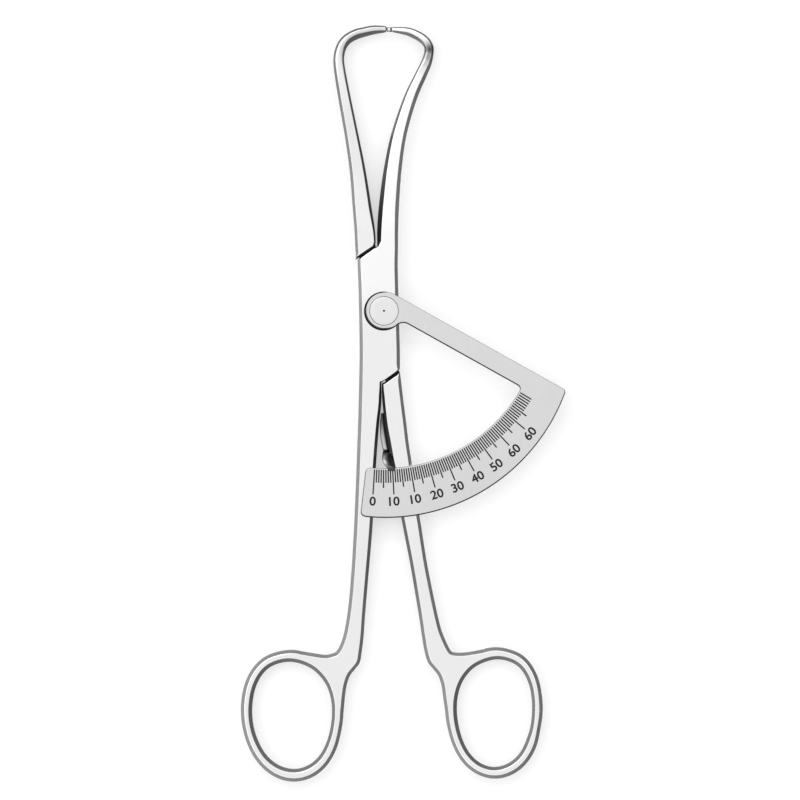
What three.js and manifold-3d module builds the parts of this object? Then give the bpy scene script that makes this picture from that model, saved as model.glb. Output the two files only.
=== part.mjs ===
// Ring-handled bone caliper: two crossing arms on a box joint, a sector scale and an index pointer.
// Millimetres. It lies on its back on z = 0, with the pivot's axis on Z and the jaws towards +Y.
// Angles of the scale are in degrees, counted from straight down (-Y) towards +X.
import * as THREE from 'three';
import { mergeVertices } from 'three/addons/utils/BufferGeometryUtils.js';
import Module from 'manifold-3d';

const wasm = await Module();
wasm.setup();

// Box joint
const boxDepth = 6.6; // front to back, and the depth of the front arm down to the plate
const boxLeft = 7.85; // pivot axis to the box's left side
const boxRight = 4.8; // pivot axis to the box's right side
const cheekThickness = 2.1; // each of the two cheeks beside the slot
const shoulderReach = 18.2; // pivot axis to the rear arm's shoulders, square to them
const shoulderAngle = 125.5; // direction of the upper shoulder's normal, in degrees from +X
const shoulderGap = 0.5; // between a cheek's end and the shoulder it faces
const tongueLeft = 6.36; // pivot axis to the tongue's left flank
const tongueRight = 3.56; // pivot axis to the tongue's right flank
const tongueLean = 18; // direction of the flanks' normal, in degrees from +X
const tongueInset = 0.4; // tongue inside the box's two sides
const flankClearance = 0.15; // between the tongue's flanks and the slot's walls
const faceClearance = 0.06; // between the tongue's faces and the cheeks
const openingMargin = 1; // degrees that the slot allows beyond the last mark

// Jaws
const jawReach = 88; // pivot axis to the tips, along Y
const jawBow = 12.6; // pivot axis to the jaws' inner sides where they bow out most
const jawRoot = 6.6; // width of a jaw where it leaves the box
const frontRootSide = 2.12; // pivot axis to the right jaw's inner side at the box
const rearRootSide = 2.9; // pivot axis to the left jaw's inner side at the box
const tipSide = 1; // pivot axis to the plane where the tips meet, along X
const tipGap = 0.25; // between the closed tips
const stubLength = 1.15; // round measuring stub on the right jaw
const stubRadius = 0.8;

// Shanks and finger rings
const frontRingDrop = 126.05; // pivot axis to the left ring's centre, along Y
const rearRingDrop = 125.4; // the same for the right ring
const frontRingSide = 28.95; // pivot axis to the left ring's centre, along X
const rearRingSide = 34.48; // pivot axis to the right ring's centre, along X
const frontRingWide = 12.3; // half width of the left ring's opening
const rearRingWide = 11.6; // half width of the right ring's opening
const ringTall = 16.7; // half height of both openings
const bandSide = 3.5; // width of the rings' band at its sides
const bandEnd = 4; // width of the rings' band at its top and bottom
const ringDepth = 5; // front to back
const splitSide = 0.6; // pivot axis to the middle of the gap where the shanks part
const splitGap = 0.45; // gap where the shanks part
const edgeBevel = 0.9; // bevel round both faces of the arms, seen from the front
const edgeDrop = 1.1; // depth of that bevel

// Scale plate
const plateThickness = 1.2;
const plateClearance = 0.3; // between the plate's back and the rear arm that passes under it
const arcInner = 49.1; // pivot axis to the graduated edge
const arcBand = 10.6; // graduated edge to the outer edge, by their radii
const rimDrop = 4.9; // centre of the outer edge below the pivot axis
const rimShift = 0.54; // centre of the outer edge to the right of the pivot axis
const eyeRadius = 6.1; // outside of the eye round the rivet's head
const eyeFillet = 3; // where the eye runs into the arm's lower edge
const endCorner = 1.8; // corners of the plate's end at the left shank
const rimCorner = 1.2; // corner between the outer edge and the arm
const armCorner = 1.5; // inside corner between the graduated edge and the arm
const zeroAngle = 3.1; // the zero mark
const firstMark = -10; // first and last reading
const lastMark = 79;
const firstMargin = 3.2; // degrees of plate before the first mark
const lastMargin = 4.4; // degrees of plate after the last mark
const markStep = 1; // reading between two marks
const markInset = 0.45; // graduated edge to the marks
const markWidth = 0.2;
const markDepth = 0.12;
const minorLength = 4.1; // marks of each millimetre
const middleLength = 5.7; // marks of each five
const majorLength = 7.8; // marks of each ten

// Rivet
const pinRadius = 1.6;
const pinFit = 0.03; // round the pin in the cheeks
const pinRunning = 0.06; // round the pin in the tongue
const headRadius = 4.46; // at the plate's front
const headFoot = 3.5; // at the plate's back
const headFit = 0.04; // between the head and the eye
const tailRadius = 2.5; // closed end at the box's back
const tailDepth = 0.9;
const dimpleRadius = 0.28;
const dimpleDepth = 0.2;

// Index pointer
const leafRoom = 1.1; // gap between the shanks where the leaf starts
const leafWidth = 2.1;
const leafThickness = 0.9;
const leafLevel = 4.3; // middle of the leaf above the back
const leafSeat = 0.3; // between the leaf and the shanks' flanks
const tipThickness = 0.5;
const tipRise = 0.25; // between the plate's front and the pointer's tip

// Making
const overrun = 1; // how far a cut runs past what it cuts
const roundSteps = 48; // sides of a full circle
const splineSteps = 3; // steps between two points of a smooth edge
const cornerSteps = 4; // steps of a rounded corner

// Shapes in shares of the sizes above. Jaw rows: reach, bow, width, depth.
const frontJawShares = [
  [0.13, 0, 1, 1],
  [0.22, 0, 0.99, 1],
  [0.294, 0, 1, 1],
  [0.379, 0.038, 0.958, 0.95],
  [0.507, 0.142, 0.849, 0.87],
  [0.634, 0.305, 0.726, 0.78],
  [0.762, 0.568, 0.627, 0.68],
  [0.847, 0.816, 0.552, 0.61],
  [0.89, 0.941, 0.509, 0.58],
  [0.922, 1, 0.448, 0.55],
  [0.94, 0.979, 0.439, 0.53],
  [0.957, 0.869, 0.443, 0.5],
  [0.975, 0.665, 0.41, 0.45],
  [0.983, 0.504, 0.34, 0.4],
];
const rearJawShares = [
  [0.15, 0, 0.856, 1],
  [0.234, 0, 0.93, 1],
  [0.294, 0.02, 0.939, 1],
  [0.379, 0.119, 0.887, 0.95],
  [0.507, 0.307, 0.75, 0.87],
  [0.634, 0.538, 0.651, 0.78],
  [0.762, 0.779, 0.592, 0.68],
  [0.847, 0.93, 0.545, 0.61],
  [0.89, 0.984, 0.513, 0.58],
  [0.916, 0.958, 0.5, 0.55],
  [0.937, 0.882, 0.496, 0.53],
  [0.953, 0.748, 0.49, 0.5],
  [0.966, 0.518, 0.49, 0.47],
  [0.973, 0.317, 0.462, 0.44],
  [0.982, 0.007, 0.425, 0.4],
];
const frontTipShares = { reach: 0.99, width: 0.24, depth: 0.33 };
const rearTipShares = { reach: 0.989, width: 0.31, depth: 0.33 };
// Stub's profile: radius, length
const stubShares = [[0, 0], [1, 0], [1, 0.88], [0.65, 1], [0, 1]];
// Half of a limb's section: outwards, towards the front
const sectionShares = [[1, 0.5], [0.93, 0.84], [0.7, 1], [-0.7, 1], [-0.93, 0.84], [-1, 0.5]];
// Shank rows: way from the joint to the neck, inner side, outer side
const frontShankShares = [
  [0.078, 0, 0.02],
  [0.164, 0.128, 0.057],
  [0.282, 0.259, 0.127],
  [0.392, 0.36, 0.19],
  [0.576, 0.508, 0.316],
  [0.765, 0.734, 0.5],
  [0.906, 0.904, 0.72],
  [1, 1, 1],
];
const rearShankShares = [
  [0.063, 0, 0.091],
  [0.159, 0.046, 0.161],
  [0.234, 0.129, 0.212],
  [0.321, 0.227, 0.287],
  [0.452, 0.376, 0.389],
  [0.571, 0.518, 0.503],
  [0.714, 0.698, 0.632],
  [0.857, 0.856, 0.795],
  [0.952, 0.956, 0.916],
  [1, 1, 1],
];
// Necks, in half widths and half heights of the ring's outside, from its centre towards the shank
const frontNeckOuterShares = [[0.905, 0.97], [0.774, 0.917], [0.65, 0.906], [0.389, 0.935]];
const rearNeckOuterShares = [[0.913, 0.948], [0.816, 0.91], [0.678, 0.906], [0.542, 0.915], [0.438, 0.928]];
const frontNeckInnerShares = [
  [1.396, 0.955], [1.357, 0.789], [1.266, 0.689], [1.163, 0.587], [1.096, 0.434], [1.062, 0.255], [1.047, 0.134],
];
const rearNeckInnerShares = [
  [1.449, 0.925], [1.378, 0.757], [1.265, 0.653], [1.163, 0.552], [1.099, 0.409], [1.064, 0.226], [1.04, 0.104],
];
const neckStartShare = 1.18; // where the shanks end, above the rings' centres
const frontNeckShares = { inner: 1.432, outer: 1.022 };
const rearNeckShares = { inner: 1.509, outer: 1.062 };
// Rings: each 20 degrees from the side that faces the other arm, the edge in shares of a plain ellipse
const frontOpeningShares = [
  1.029, 1.044, 1.043, 1.01, 0.978, 0.998, 1.045, 1.038, 1.01,
  0.991, 0.979, 0.973, 0.985, 1, 1.029, 1.047, 1.032, 1.022,
];
const rearOpeningShares = [
  1.006, 1.025, 1.033, 1.01, 0.976, 1.011, 1.075, 1.066, 1.034,
  1.01, 1.003, 1, 1.02, 1.018, 1.017, 1.009, 0.994, 0.992,
];
const frontBandShares = [
  1.032, 1.04, 1, 0.98, 0.981, 0.986, 1.032, 1.041, 1.02,
  0.999, 0.985, 0.982, 0.988, 1.004, 1.027, 1.045, 1.037, 1.021,
];
const rearBandShares = [
  1.02, 1.04, 1, 0.98, 0.984, 0.999, 1.052, 1.05, 1.02,
  1.002, 0.988, 1.013, 1.019, 1.007, 1.001, 1.004, 0.999, 0.999,
];
const bandStart = 80; // the necks run into the bands at these angles, in degrees
const bandStop = 360;
// The box's left side above and below the pivot, in shares of its width and of the shoulders' reach
const boxLeftShares = [[1.05, 0.75], [1.02, 0.42], [0.985, -0.25], [0.975, -0.8]];
const boxRightShares = [[1.04, -0.7], [1, -0.3], [0.95, 0.2], [0.9, 0.75]];
// Pointer rows: way from the leaf's start to the graduated edge, width, lift
const pointerShares = [
  [0, 0.25, 0],
  [0.266, 0.8, 0],
  [0.649, 0.95, 0],
  [0.745, 1, 0.25],
  [0.895, 1.2, 1],
  [0.97, 1.05, 1],
  [1.054, 0.75, 1],
];

const degrees = Math.PI / 180;
const middle = boxDepth / 2;
const plateBack = boxDepth;
const plateFront = plateBack + plateThickness;
const rimRadius = arcInner + arcBand;
const measuringReach = Math.hypot(jawReach, tipSide);

// Chord law: the tips stand 2 R sin(turn / 2) apart when the arms have turned by that angle.
function turnAt(reading) {
  return (2 * Math.asin(reading / (2 * measuringReach))) / degrees;
}

const opening = turnAt(lastMark);
const plateStart = zeroAngle + turnAt(firstMark) - firstMargin;
const plateEnd = zeroAngle + opening + lastMargin;

function mix(from, to, share) {
  return from + (to - from) * share;
}

// Point at a distance and an angle of the scale, from the pivot's axis
function polar(radius, angle) {
  return new THREE.Vector2(radius * Math.sin(angle * degrees), -radius * Math.cos(angle * degrees));
}

function direction(angle) {
  return new THREE.Vector2(Math.cos(angle * degrees), Math.sin(angle * degrees));
}

// Y where the line at this distance from the pivot, square to the normal, passes this x
function lineAt(normal, distance, x) {
  return (distance - normal.x * x) / normal.y;
}

function smooth(points, steps = splineSteps) {
  return new THREE.SplineCurve(points).getPoints((points.length - 1) * steps);
}

function arc(centre, radius, from, to, steps) {
  const turn = new THREE.EllipseCurve(centre.x, centre.y, radius, radius, from, to, to < from, 0);
  return turn.getPoints(steps);
}

function solidOf(geometry) {
  const bare = geometry.index ? geometry.clone() : geometry;
  bare.deleteAttribute('normal');
  bare.deleteAttribute('uv');
  const merged = mergeVertices(bare);
  const mesh = new wasm.Mesh({
    numProp: 3,
    vertProperties: Float32Array.from(merged.attributes.position.array),
    triVerts: Uint32Array.from(merged.index.array),
  });
  return new wasm.Manifold(mesh);
}

function geometryOf(solid) {
  const mesh = solid.getMesh();
  const geometry = new THREE.BufferGeometry();
  geometry.setAttribute('position', new THREE.BufferAttribute(mesh.vertProperties, 3));
  geometry.setIndex(new THREE.BufferAttribute(mesh.triVerts, 1));
  geometry.computeVertexNormals();
  return geometry;
}

function prism(points, low, high) {
  const shape = new THREE.Shape(points);
  const geometry = new THREE.ExtrudeGeometry(shape, { depth: high - low, bevelEnabled: false });
  geometry.translate(0, 0, low);
  return solidOf(geometry);
}

// Round or conical body on the pivot's axis
function turned(lowRadius, highRadius, low, high) {
  const geometry = new THREE.CylinderGeometry(highRadius, lowRadius, high - low, roundSteps);
  geometry.rotateX(Math.PI / 2);
  geometry.translate(0, 0, (low + high) / 2);
  return solidOf(geometry);
}

// Closed skin over rings of points that follow each other
function skin(rings, flipped = false) {
  const count = rings[0].length;
  const positions = rings.flat().flatMap((point) => point.toArray());
  const faces = [];
  rings.slice(1).forEach((_, step) => {
    for (let side = 0; side < count; side += 1) {
      const next = (side + 1) % count;
      const a = step * count + side;
      const b = step * count + next;
      const c = b + count;
      const d = a + count;
      faces.push([a, d, b], [b, d, c]);
    }
  });
  const last = (rings.length - 1) * count;
  for (let side = 1; side < count - 1; side += 1) {
    faces.push([0, side, side + 1], [last, last + side + 1, last + side]);
  }
  const geometry = new THREE.BufferGeometry();
  geometry.setAttribute('position', new THREE.Float32BufferAttribute(positions, 3));
  geometry.setIndex(faces.flatMap(([a, b, c]) => (flipped ? [a, c, b] : [a, b, c])));
  return solidOf(geometry);
}

// Jaw with a rounded section that follows its inner side; side is +1 for the right jaw
function jaw(shares, tipShares, rootSide, tipEnd, side) {
  const from = side > 0 ? -rootSide : rootSide;
  const rows = shares.map(([reach, bow, width, depth]) => ({
    inner: new THREE.Vector3(side * mix(from, jawBow, bow), reach * jawReach, middle),
    size: new THREE.Vector3(width * jawRoot, depth * boxDepth, 0),
  }));
  rows.push({
    inner: new THREE.Vector3(tipEnd, tipShares.reach * jawReach, middle),
    size: new THREE.Vector3(tipShares.width * jawRoot, tipShares.depth * boxDepth, 0),
  });
  const path = new THREE.CatmullRomCurve3(rows.map((row) => row.inner), false, 'catmullrom', 0.5);
  const sizes = new THREE.CatmullRomCurve3(rows.map((row) => row.size), false, 'catmullrom', 0.5);
  const lower = [...sectionShares].reverse().map(([out, front]) => [out, -front]);
  const section = [...sectionShares, ...lower];
  const steps = (rows.length - 1) * splineSteps;
  const rings = [];
  for (let step = 0; step <= steps; step += 1) {
    const point = path.getPoint(step / steps);
    const size = sizes.getPoint(step / steps);
    const along = path.getTangent(step / steps);
    const outwards = new THREE.Vector3(side * along.y, -side * along.x, 0).normalize();
    if (step === steps) outwards.set(0, 1, 0);
    const centre = point.clone().addScaledVector(outwards, size.x / 2);
    rings.push(section.map(([out, front]) => {
      const corner = centre.clone().addScaledVector(outwards, (out * size.x) / 2);
      corner.z += (front * Math.min(size.y, boxDepth)) / 2;
      return corner;
    }));
  }
  return skin(rings, side < 0);
}

const upperNormal = direction(shoulderAngle);
const lowerNormal = direction(shoulderAngle + 180);
const cheekReach = shoulderReach - shoulderGap;
const frontInner = -(splitSide + splitGap / 2);
const rearInner = -(splitSide - splitGap / 2);
const frontFork = lineAt(lowerNormal, cheekReach, frontInner);
const rearFork = lineAt(lowerNormal, shoulderReach, rearInner);

// Sizes of one handle; mirror is +1 for the left ring and -1 for the right one
function handleOf(mirror) {
  const front = mirror > 0;
  const wide = front ? frontRingWide : rearRingWide;
  const side = front ? frontRingSide : rearRingSide;
  const drop = front ? frontRingDrop : rearRingDrop;
  const neckShares = front ? frontNeckShares : rearNeckShares;
  const outerWide = wide + bandSide;
  const outerTall = ringTall + bandEnd;
  return {
    mirror,
    outerWide,
    outerTall,
    wide,
    centre: new THREE.Vector2(-mirror * side, -drop),
    fork: front ? frontFork : rearFork,
    end: -drop + neckStartShare * outerTall,
    innerTop: front ? frontInner : rearInner,
    outerTop: front ? -boxLeft : boxRight,
    innerEnd: -mirror * (side - neckShares.inner * outerWide),
    outerEnd: -mirror * (side - neckShares.outer * outerWide),
    shares: front ? frontShankShares : rearShankShares,
    neckOuter: front ? frontNeckOuterShares : rearNeckOuterShares,
    neckInner: front ? frontNeckInnerShares : rearNeckInnerShares,
    opening: front ? frontOpeningShares : rearOpeningShares,
    band: front ? frontBandShares : rearBandShares,
  };
}

const frontHandle = handleOf(1);
const rearHandle = handleOf(-1);

function shankEdge(handle, outer) {
  return handle.shares.map(([way, innerShare, outerShare]) => {
    const y = mix(handle.fork, handle.end, way);
    const innerX = mix(handle.innerTop, handle.innerEnd, innerShare);
    const outerX = mix(handle.outerTop, handle.outerEnd, outerShare);
    return new THREE.Vector2(outer ? outerX : innerX, y);
  });
}

function ringPoint(handle, across, up) {
  const offset = new THREE.Vector2(handle.mirror * across, up);
  return offset.add(handle.centre);
}

// Edge of a ring between two angles: an ellipse whose radius follows the shares
function ringEdge(handle, wide, tall, shares, from, to) {
  const knots = shares.map((share) => new THREE.Vector3(share));
  const curve = new THREE.CatmullRomCurve3(knots, true, 'catmullrom', 0.5);
  const steps = Math.round((roundSteps * (to - from)) / 360);
  const points = [];
  for (let step = 0; step <= steps; step += 1) {
    const angle = mix(from, to, step / steps);
    const share = curve.getPoint((angle % 360) / 360).x;
    const heading = direction(angle);
    const radius = share / Math.hypot(heading.x / wide, heading.y / tall);
    points.push(ringPoint(handle, radius * heading.x, radius * heading.y));
  }
  return points;
}

// Outside of a handle from the joint round the ring and back: outer side, ring, inner side
function handleOutline(handle, outerStart, innerEnd) {
  const neckPoint = ([x, y]) => ringPoint(handle, x * handle.outerWide, y * handle.outerTall);
  const outerNeck = handle.neckOuter.map(neckPoint);
  const innerNeck = handle.neckInner.map(neckPoint).reverse();
  const ring = ringEdge(handle, handle.outerWide, handle.outerTall, handle.band, bandStart, bandStop);
  const outer = smooth([...outerStart, ...shankEdge(handle, true), ...outerNeck, ring[0]]);
  const inner = smooth([ring[ring.length - 1], ...innerNeck, ...shankEdge(handle, false).reverse(), innerEnd]);
  // The first step has to be longer than the bevel is wide
  const spaced = outer.filter((point, index) => index === 0 || point.distanceTo(outer[0]) > edgeBevel);
  return [...spaced, ...ring.slice(1, -1), ...inner];
}

function ringHole(handle) {
  return new THREE.Path(ringEdge(handle, handle.wide, ringTall, handle.opening, 0, 360).slice(0, -1));
}

// Bevelled body over an outline, with its depth set by the way along Y
function handleSolid(outline, hole, depthAt) {
  const clockwise = THREE.ShapeUtils.isClockWise(outline);
  const shape = new THREE.Shape(clockwise ? outline.reverse() : outline);
  shape.holes.push(hole);
  const geometry = new THREE.ExtrudeGeometry(shape, {
    depth: boxDepth - 2 * edgeDrop,
    bevelThickness: edgeDrop,
    bevelSize: edgeBevel,
    bevelOffset: -edgeBevel,
    bevelSegments: 2,
  });
  geometry.translate(0, 0, edgeDrop);
  const spots = geometry.attributes.position;
  for (let index = 0; index < spots.count; index += 1) {
    const share = spots.getZ(index) / boxDepth;
    spots.setZ(index, share * depthAt(spots.getY(index)));
  }
  return solidOf(geometry);
}

// Wall on one side of the slot: what neither the closed nor the open tongue reaches
function slotWall(distance, lean) {
  const clear = distance + flankClearance;
  const turn = opening + openingMargin;
  const far = jawReach;
  const apex = direction(lean + turn / 2).multiplyScalar(clear / Math.cos((turn / 2) * degrees));
  const rays = [lean + turn - 90, lean + turn / 2, lean + 90];
  const corners = rays.map((angle) => direction(angle).multiplyScalar(far).add(apex));
  return prism([apex, ...corners], cheekThickness - overrun, boxDepth - cheekThickness + overrun);
}

function slotSolid() {
  const wide = 2 * (boxLeft + boxRight);
  const tall = 2 * shoulderReach;
  const corners = [[-wide, -tall], [wide, -tall], [wide, tall], [-wide, tall]];
  const points = corners.map(([x, y]) => new THREE.Vector2(x, y));
  const slab = prism(points, cheekThickness, boxDepth - cheekThickness);
  return slab.subtract(slotWall(tongueRight, tongueLean)).subtract(slotWall(tongueLeft, tongueLean + 180));
}

// Short round stub that ends the right jaw and meets the left one
function stubSolid() {
  const length = stubLength + overrun;
  const profile = stubShares.map(([x, y]) => new THREE.Vector2(x * stubRadius, y * length));
  const geometry = new THREE.LatheGeometry(profile, roundSteps / 2);
  geometry.rotateZ(Math.PI / 2);
  const height = frontTipShares.reach * jawReach + (frontTipShares.width * jawRoot) / 2;
  geometry.translate(tipSide + tipGap / 2 + length, height, middle);
  return solidOf(geometry);
}

function frontArm() {
  const boxSide = (shares, side) => shares.map(([x, y]) => new THREE.Vector2(x * side, y * shoulderReach));
  const onCheek = (normal, x) => new THREE.Vector2(x, lineAt(normal, cheekReach, x));
  const upperLeft = onCheek(upperNormal, -boxLeft * boxLeftShares[0][0]);
  const upperFork = onCheek(upperNormal, -frontRootSide);
  const lowerRight = onCheek(lowerNormal, boxRight * boxRightShares[0][0]);
  const fork = new THREE.Vector2(frontInner, frontFork);
  const leftSide = boxSide(boxLeftShares, -boxLeft);
  const rightSide = boxSide(boxRightShares, boxRight);
  const boxTop = new THREE.Vector2(rightSide[rightSide.length - 1].x, upperFork.y);
  const outline = handleOutline(frontHandle, [upperLeft, ...leftSide], fork);
  outline.push(...smooth([lowerRight, ...rightSide, boxTop]), upperFork);
  const plateBottom = -(rimRadius + rimDrop);
  const depthAt = (y) => mix(boxDepth, ringDepth, THREE.MathUtils.inverseLerp(
    plateBottom, frontHandle.end, THREE.MathUtils.clamp(y, frontHandle.end, plateBottom)));
  const rightJaw = jaw(frontJawShares, frontTipShares, frontRootSide, tipSide + tipGap / 2 + stubLength, 1);
  return handleSolid(outline, ringHole(frontHandle), depthAt)
    .add(rightJaw)
    .add(stubSolid())
    .subtract(slotSolid())
    .subtract(turned(pinRadius + pinFit, pinRadius + pinFit, -overrun, boxDepth + overrun))
    .subtract(turned(tailRadius + pinFit, pinRadius + pinFit, 0, tailDepth));
}

// Everything on the joint's side of the upper shoulder
function shoulderCut() {
  const far = jawReach;
  const across = direction(shoulderAngle + 90);
  const on = upperNormal.clone().multiplyScalar(shoulderReach);
  const back = upperNormal.clone().multiplyScalar(shoulderReach - far);
  const points = [
    on.clone().addScaledVector(across, far),
    on.clone().addScaledVector(across, -far),
    back.clone().addScaledVector(across, -far),
    back.clone().addScaledVector(across, far),
  ];
  return prism(points, -overrun, boxDepth + overrun);
}

function tongueSolid() {
  const left = -(boxLeft - tongueInset);
  const right = boxRight - tongueInset;
  const rightNormal = direction(tongueLean);
  const leftNormal = direction(tongueLean + 180);
  const sunk = overrun / 2;
  const upper = (x) => new THREE.Vector2(x, lineAt(upperNormal, shoulderReach, x));
  const lower = (x) => new THREE.Vector2(x, lineAt(lowerNormal, shoulderReach, x));
  const lowerInner = (leftNormal.y * shoulderReach - lowerNormal.y * tongueLeft)
    / (lowerNormal.x * leftNormal.y - leftNormal.x * lowerNormal.y);
  const points = [
    upper(-rearRootSide),
    upper(-rearRootSide).addScaledVector(upperNormal, sunk),
    upper(left).addScaledVector(upperNormal, sunk),
    upper(left),
    new THREE.Vector2(left, lineAt(leftNormal, tongueLeft, left)),
    lower(lowerInner),
    lower(lowerInner).addScaledVector(lowerNormal, sunk),
    lower(right).addScaledVector(lowerNormal, sunk),
    lower(right),
    new THREE.Vector2(right, lineAt(rightNormal, tongueRight, right)),
  ];
  return prism(points, cheekThickness + faceClearance, boxDepth - cheekThickness - faceClearance);
}

function rearArm() {
  const right = boxRight * boxRightShares[0][0];
  const shoulder = new THREE.Vector2(right, lineAt(lowerNormal, shoulderReach, right));
  const fork = new THREE.Vector2(rearInner, rearFork);
  const outline = handleOutline(rearHandle, [shoulder], fork);
  const depthAt = (y) => mix(boxDepth - plateClearance, ringDepth, THREE.MathUtils.inverseLerp(
    rearFork, rearHandle.end, THREE.MathUtils.clamp(y, rearHandle.end, rearFork)));
  const leftJaw = jaw(rearJawShares, rearTipShares, rearRootSide, tipSide - tipGap / 2, -1);
  return handleSolid(outline, ringHole(rearHandle), depthAt)
    .add(leftJaw.subtract(shoulderCut()))
    .add(tongueSolid())
    .subtract(turned(pinRadius + pinRunning, pinRadius + pinRunning, 0, boxDepth));
}

// Rivet: closed tail in the back cheek, pin, and a countersunk head flush with the plate
function pivotRivet() {
  const profile = [
    [0, 0],
    [tailRadius, 0],
    [pinRadius, tailDepth],
    [pinRadius, plateBack],
    [headFoot, plateBack],
    [headRadius, plateFront],
    [dimpleRadius, plateFront],
    [0, plateFront - dimpleDepth],
  ];
  const geometry = new THREE.LatheGeometry(profile.map(([x, y]) => new THREE.Vector2(x, y)), roundSteps);
  geometry.rotateX(Math.PI / 2);
  return solidOf(geometry);
}

// Rounded corner between the ends of two edges
function corner(from, at, to) {
  return new THREE.QuadraticBezierCurve(from, at, to).getPoints(cornerSteps);
}

function towards(from, to, length) {
  return from.clone().add(to.clone().sub(from).setLength(length));
}

function plateOutline() {
  const along = direction(plateEnd - 90);
  const square = direction(plateEnd);
  const rimCentre = new THREE.Vector2(rimShift, -rimDrop);
  // Distance along a heading from a start to the outer edge
  const toRim = (start, heading) => {
    const offset = start.clone().sub(rimCentre);
    const half = offset.dot(heading);
    return -half + Math.sqrt(half * half - offset.lengthSq() + rimRadius * rimRadius);
  };
  const rimAngle = (point) => point.clone().sub(rimCentre).angle() - 2 * Math.PI;
  const tangent = square.clone().multiplyScalar(eyeRadius);
  const rimEnd = tangent.clone().addScaledVector(along, toRim(tangent, along));
  const down = polar(1, plateStart);
  const rimStart = down.clone().multiplyScalar(toRim(new THREE.Vector2(), down));
  const arcStart = down.clone().multiplyScalar(arcInner);
  const arcEnd = along.clone().multiplyScalar(arcInner);
  const rim = arc(rimCentre, rimRadius, rimAngle(rimEnd) - rimCorner / rimRadius,
    rimAngle(rimStart) + endCorner / rimRadius, roundSteps / 2);
  const origin = new THREE.Vector2();
  const graduated = arc(origin, arcInner, (plateStart - 90) * degrees + endCorner / arcInner,
    (plateEnd - 90) * degrees - armCorner / arcInner, roundSteps / 2);
  // Fillet between the eye and the arm's lower edge
  const way = Math.sqrt((eyeRadius + eyeFillet) ** 2 - eyeFillet ** 2);
  const fillet = along.clone().multiplyScalar(way).addScaledVector(square, -eyeFillet);
  const bend = Math.atan2(eyeFillet, way);
  const armTurn = (plateEnd - 90) * degrees;
  const filletArc = arc(fillet, eyeFillet, armTurn + Math.PI / 2, armTurn + Math.PI - bend, cornerSteps);
  const eye = arc(origin, eyeRadius, armTurn - bend, armTurn - (3 * Math.PI) / 2, (roundSteps * 3) / 4);
  return [
    ...corner(towards(rimEnd, tangent, rimCorner), rimEnd, rim[0]),
    ...rim.slice(1, -1),
    ...corner(rim[rim.length - 1], rimStart, towards(rimStart, arcStart, endCorner)),
    ...corner(towards(arcStart, rimStart, endCorner), arcStart, graduated[0]),
    ...graduated.slice(1, -1),
    ...corner(graduated[graduated.length - 1], arcEnd, towards(arcEnd, origin, armCorner)),
    ...filletArc,
    ...eye.slice(1),
  ];
}

function markLength(reading) {
  if (reading % 10 === 0) return majorLength;
  return reading % 5 === 0 ? middleLength : minorLength;
}

// Engraved marks, one each millimetre of opening
function markCuts() {
  const cuts = [];
  for (let reading = firstMark; reading <= lastMark; reading += markStep) {
    const length = markLength(reading);
    const geometry = new THREE.BoxGeometry(markWidth, length, 2 * markDepth);
    geometry.translate(0, -(arcInner + markInset + length / 2), plateFront);
    geometry.rotateZ((zeroAngle + turnAt(reading)) * degrees);
    cuts.push(solidOf(geometry));
  }
  return cuts.reduce((all, cut) => all.add(cut));
}

function scalePlate() {
  const slope = (headRadius - headFoot) / plateThickness;
  const foot = headFoot + headFit - slope * overrun;
  const top = headRadius + headFit + slope * overrun;
  return prism(plateOutline(), plateBack, plateFront)
    .subtract(turned(foot, top, plateBack - overrun, plateFront + overrun))
    .subtract(markCuts());
}

// X of a shank's inner side at a height
function innerAt(handle, y) {
  const edge = [new THREE.Vector2(handle.innerTop, handle.fork), ...shankEdge(handle, false)];
  const below = Math.max(1, edge.findIndex((point) => point.y <= y));
  const share = (edge[below - 1].y - y) / (edge[below - 1].y - edge[below].y);
  return mix(edge[below - 1].x, edge[below].x, share);
}

// Height at which the shanks have parted enough for the leaf
function leafTop() {
  let high = Math.min(frontFork, rearFork);
  let low = -arcInner;
  for (let halving = 0; halving < roundSteps; halving += 1) {
    const half = (high + low) / 2;
    const parted = innerAt(rearHandle, half) - innerAt(frontHandle, half) > leafRoom;
    if (parted) low = half;
    else high = half;
  }
  return low;
}

// Bent strip: a leaf beside the rear shank, a rise, and a tip over the plate's graduated edge
function indexPointer() {
  const tipLevel = plateFront + tipRise + tipThickness / 2;
  const top = leafTop();
  const rings = pointerShares.map(([way, widthShare, lift]) => {
    const y = mix(top, -arcInner, way);
    const width = widthShare * leafWidth;
    const overMark = -y * Math.tan(zeroAngle * degrees) + width / 2;
    const right = mix(innerAt(rearHandle, y) - leafSeat, overMark, lift * lift);
    const left = Math.max(right - width, innerAt(frontHandle, y) + leafSeat);
    const level = mix(leafLevel, tipLevel, lift);
    const half = mix(leafThickness, tipThickness, lift) / 2;
    return [[left, -half], [right, -half], [right, half], [left, half]].map(
      ([x, z]) => new THREE.Vector3(x, y, level + z));
  });
  return skin(rings, true);
}

const caliper = new THREE.Group();

// Each piece has a material of its own
function place(name, solid, color, roughness) {
  const material = new THREE.MeshStandardMaterial({ name: `${name}_steel`, color, roughness, metalness: 1 });
  const mesh = new THREE.Mesh(geometryOf(solid), material);
  mesh.name = name;
  caliper.add(mesh);
}

place('front_arm', frontArm(), 0xe2e3e5, 0.32);
place('rear_arm', rearArm(), 0xdfe0e2, 0.32);
place('pivot_rivet', pivotRivet(), 0xd9dadc, 0.28);
place('scale_plate', scalePlate(), 0xdcdde0, 0.38);
place('index_pointer', indexPointer(), 0xb9babd, 0.25);

export default caliper;
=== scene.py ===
# Surgical caliper with finger rings: the looks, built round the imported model.
# The sizes are the model's own, in millimetres, and mm turns them into Blender's metres.
import math

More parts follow.
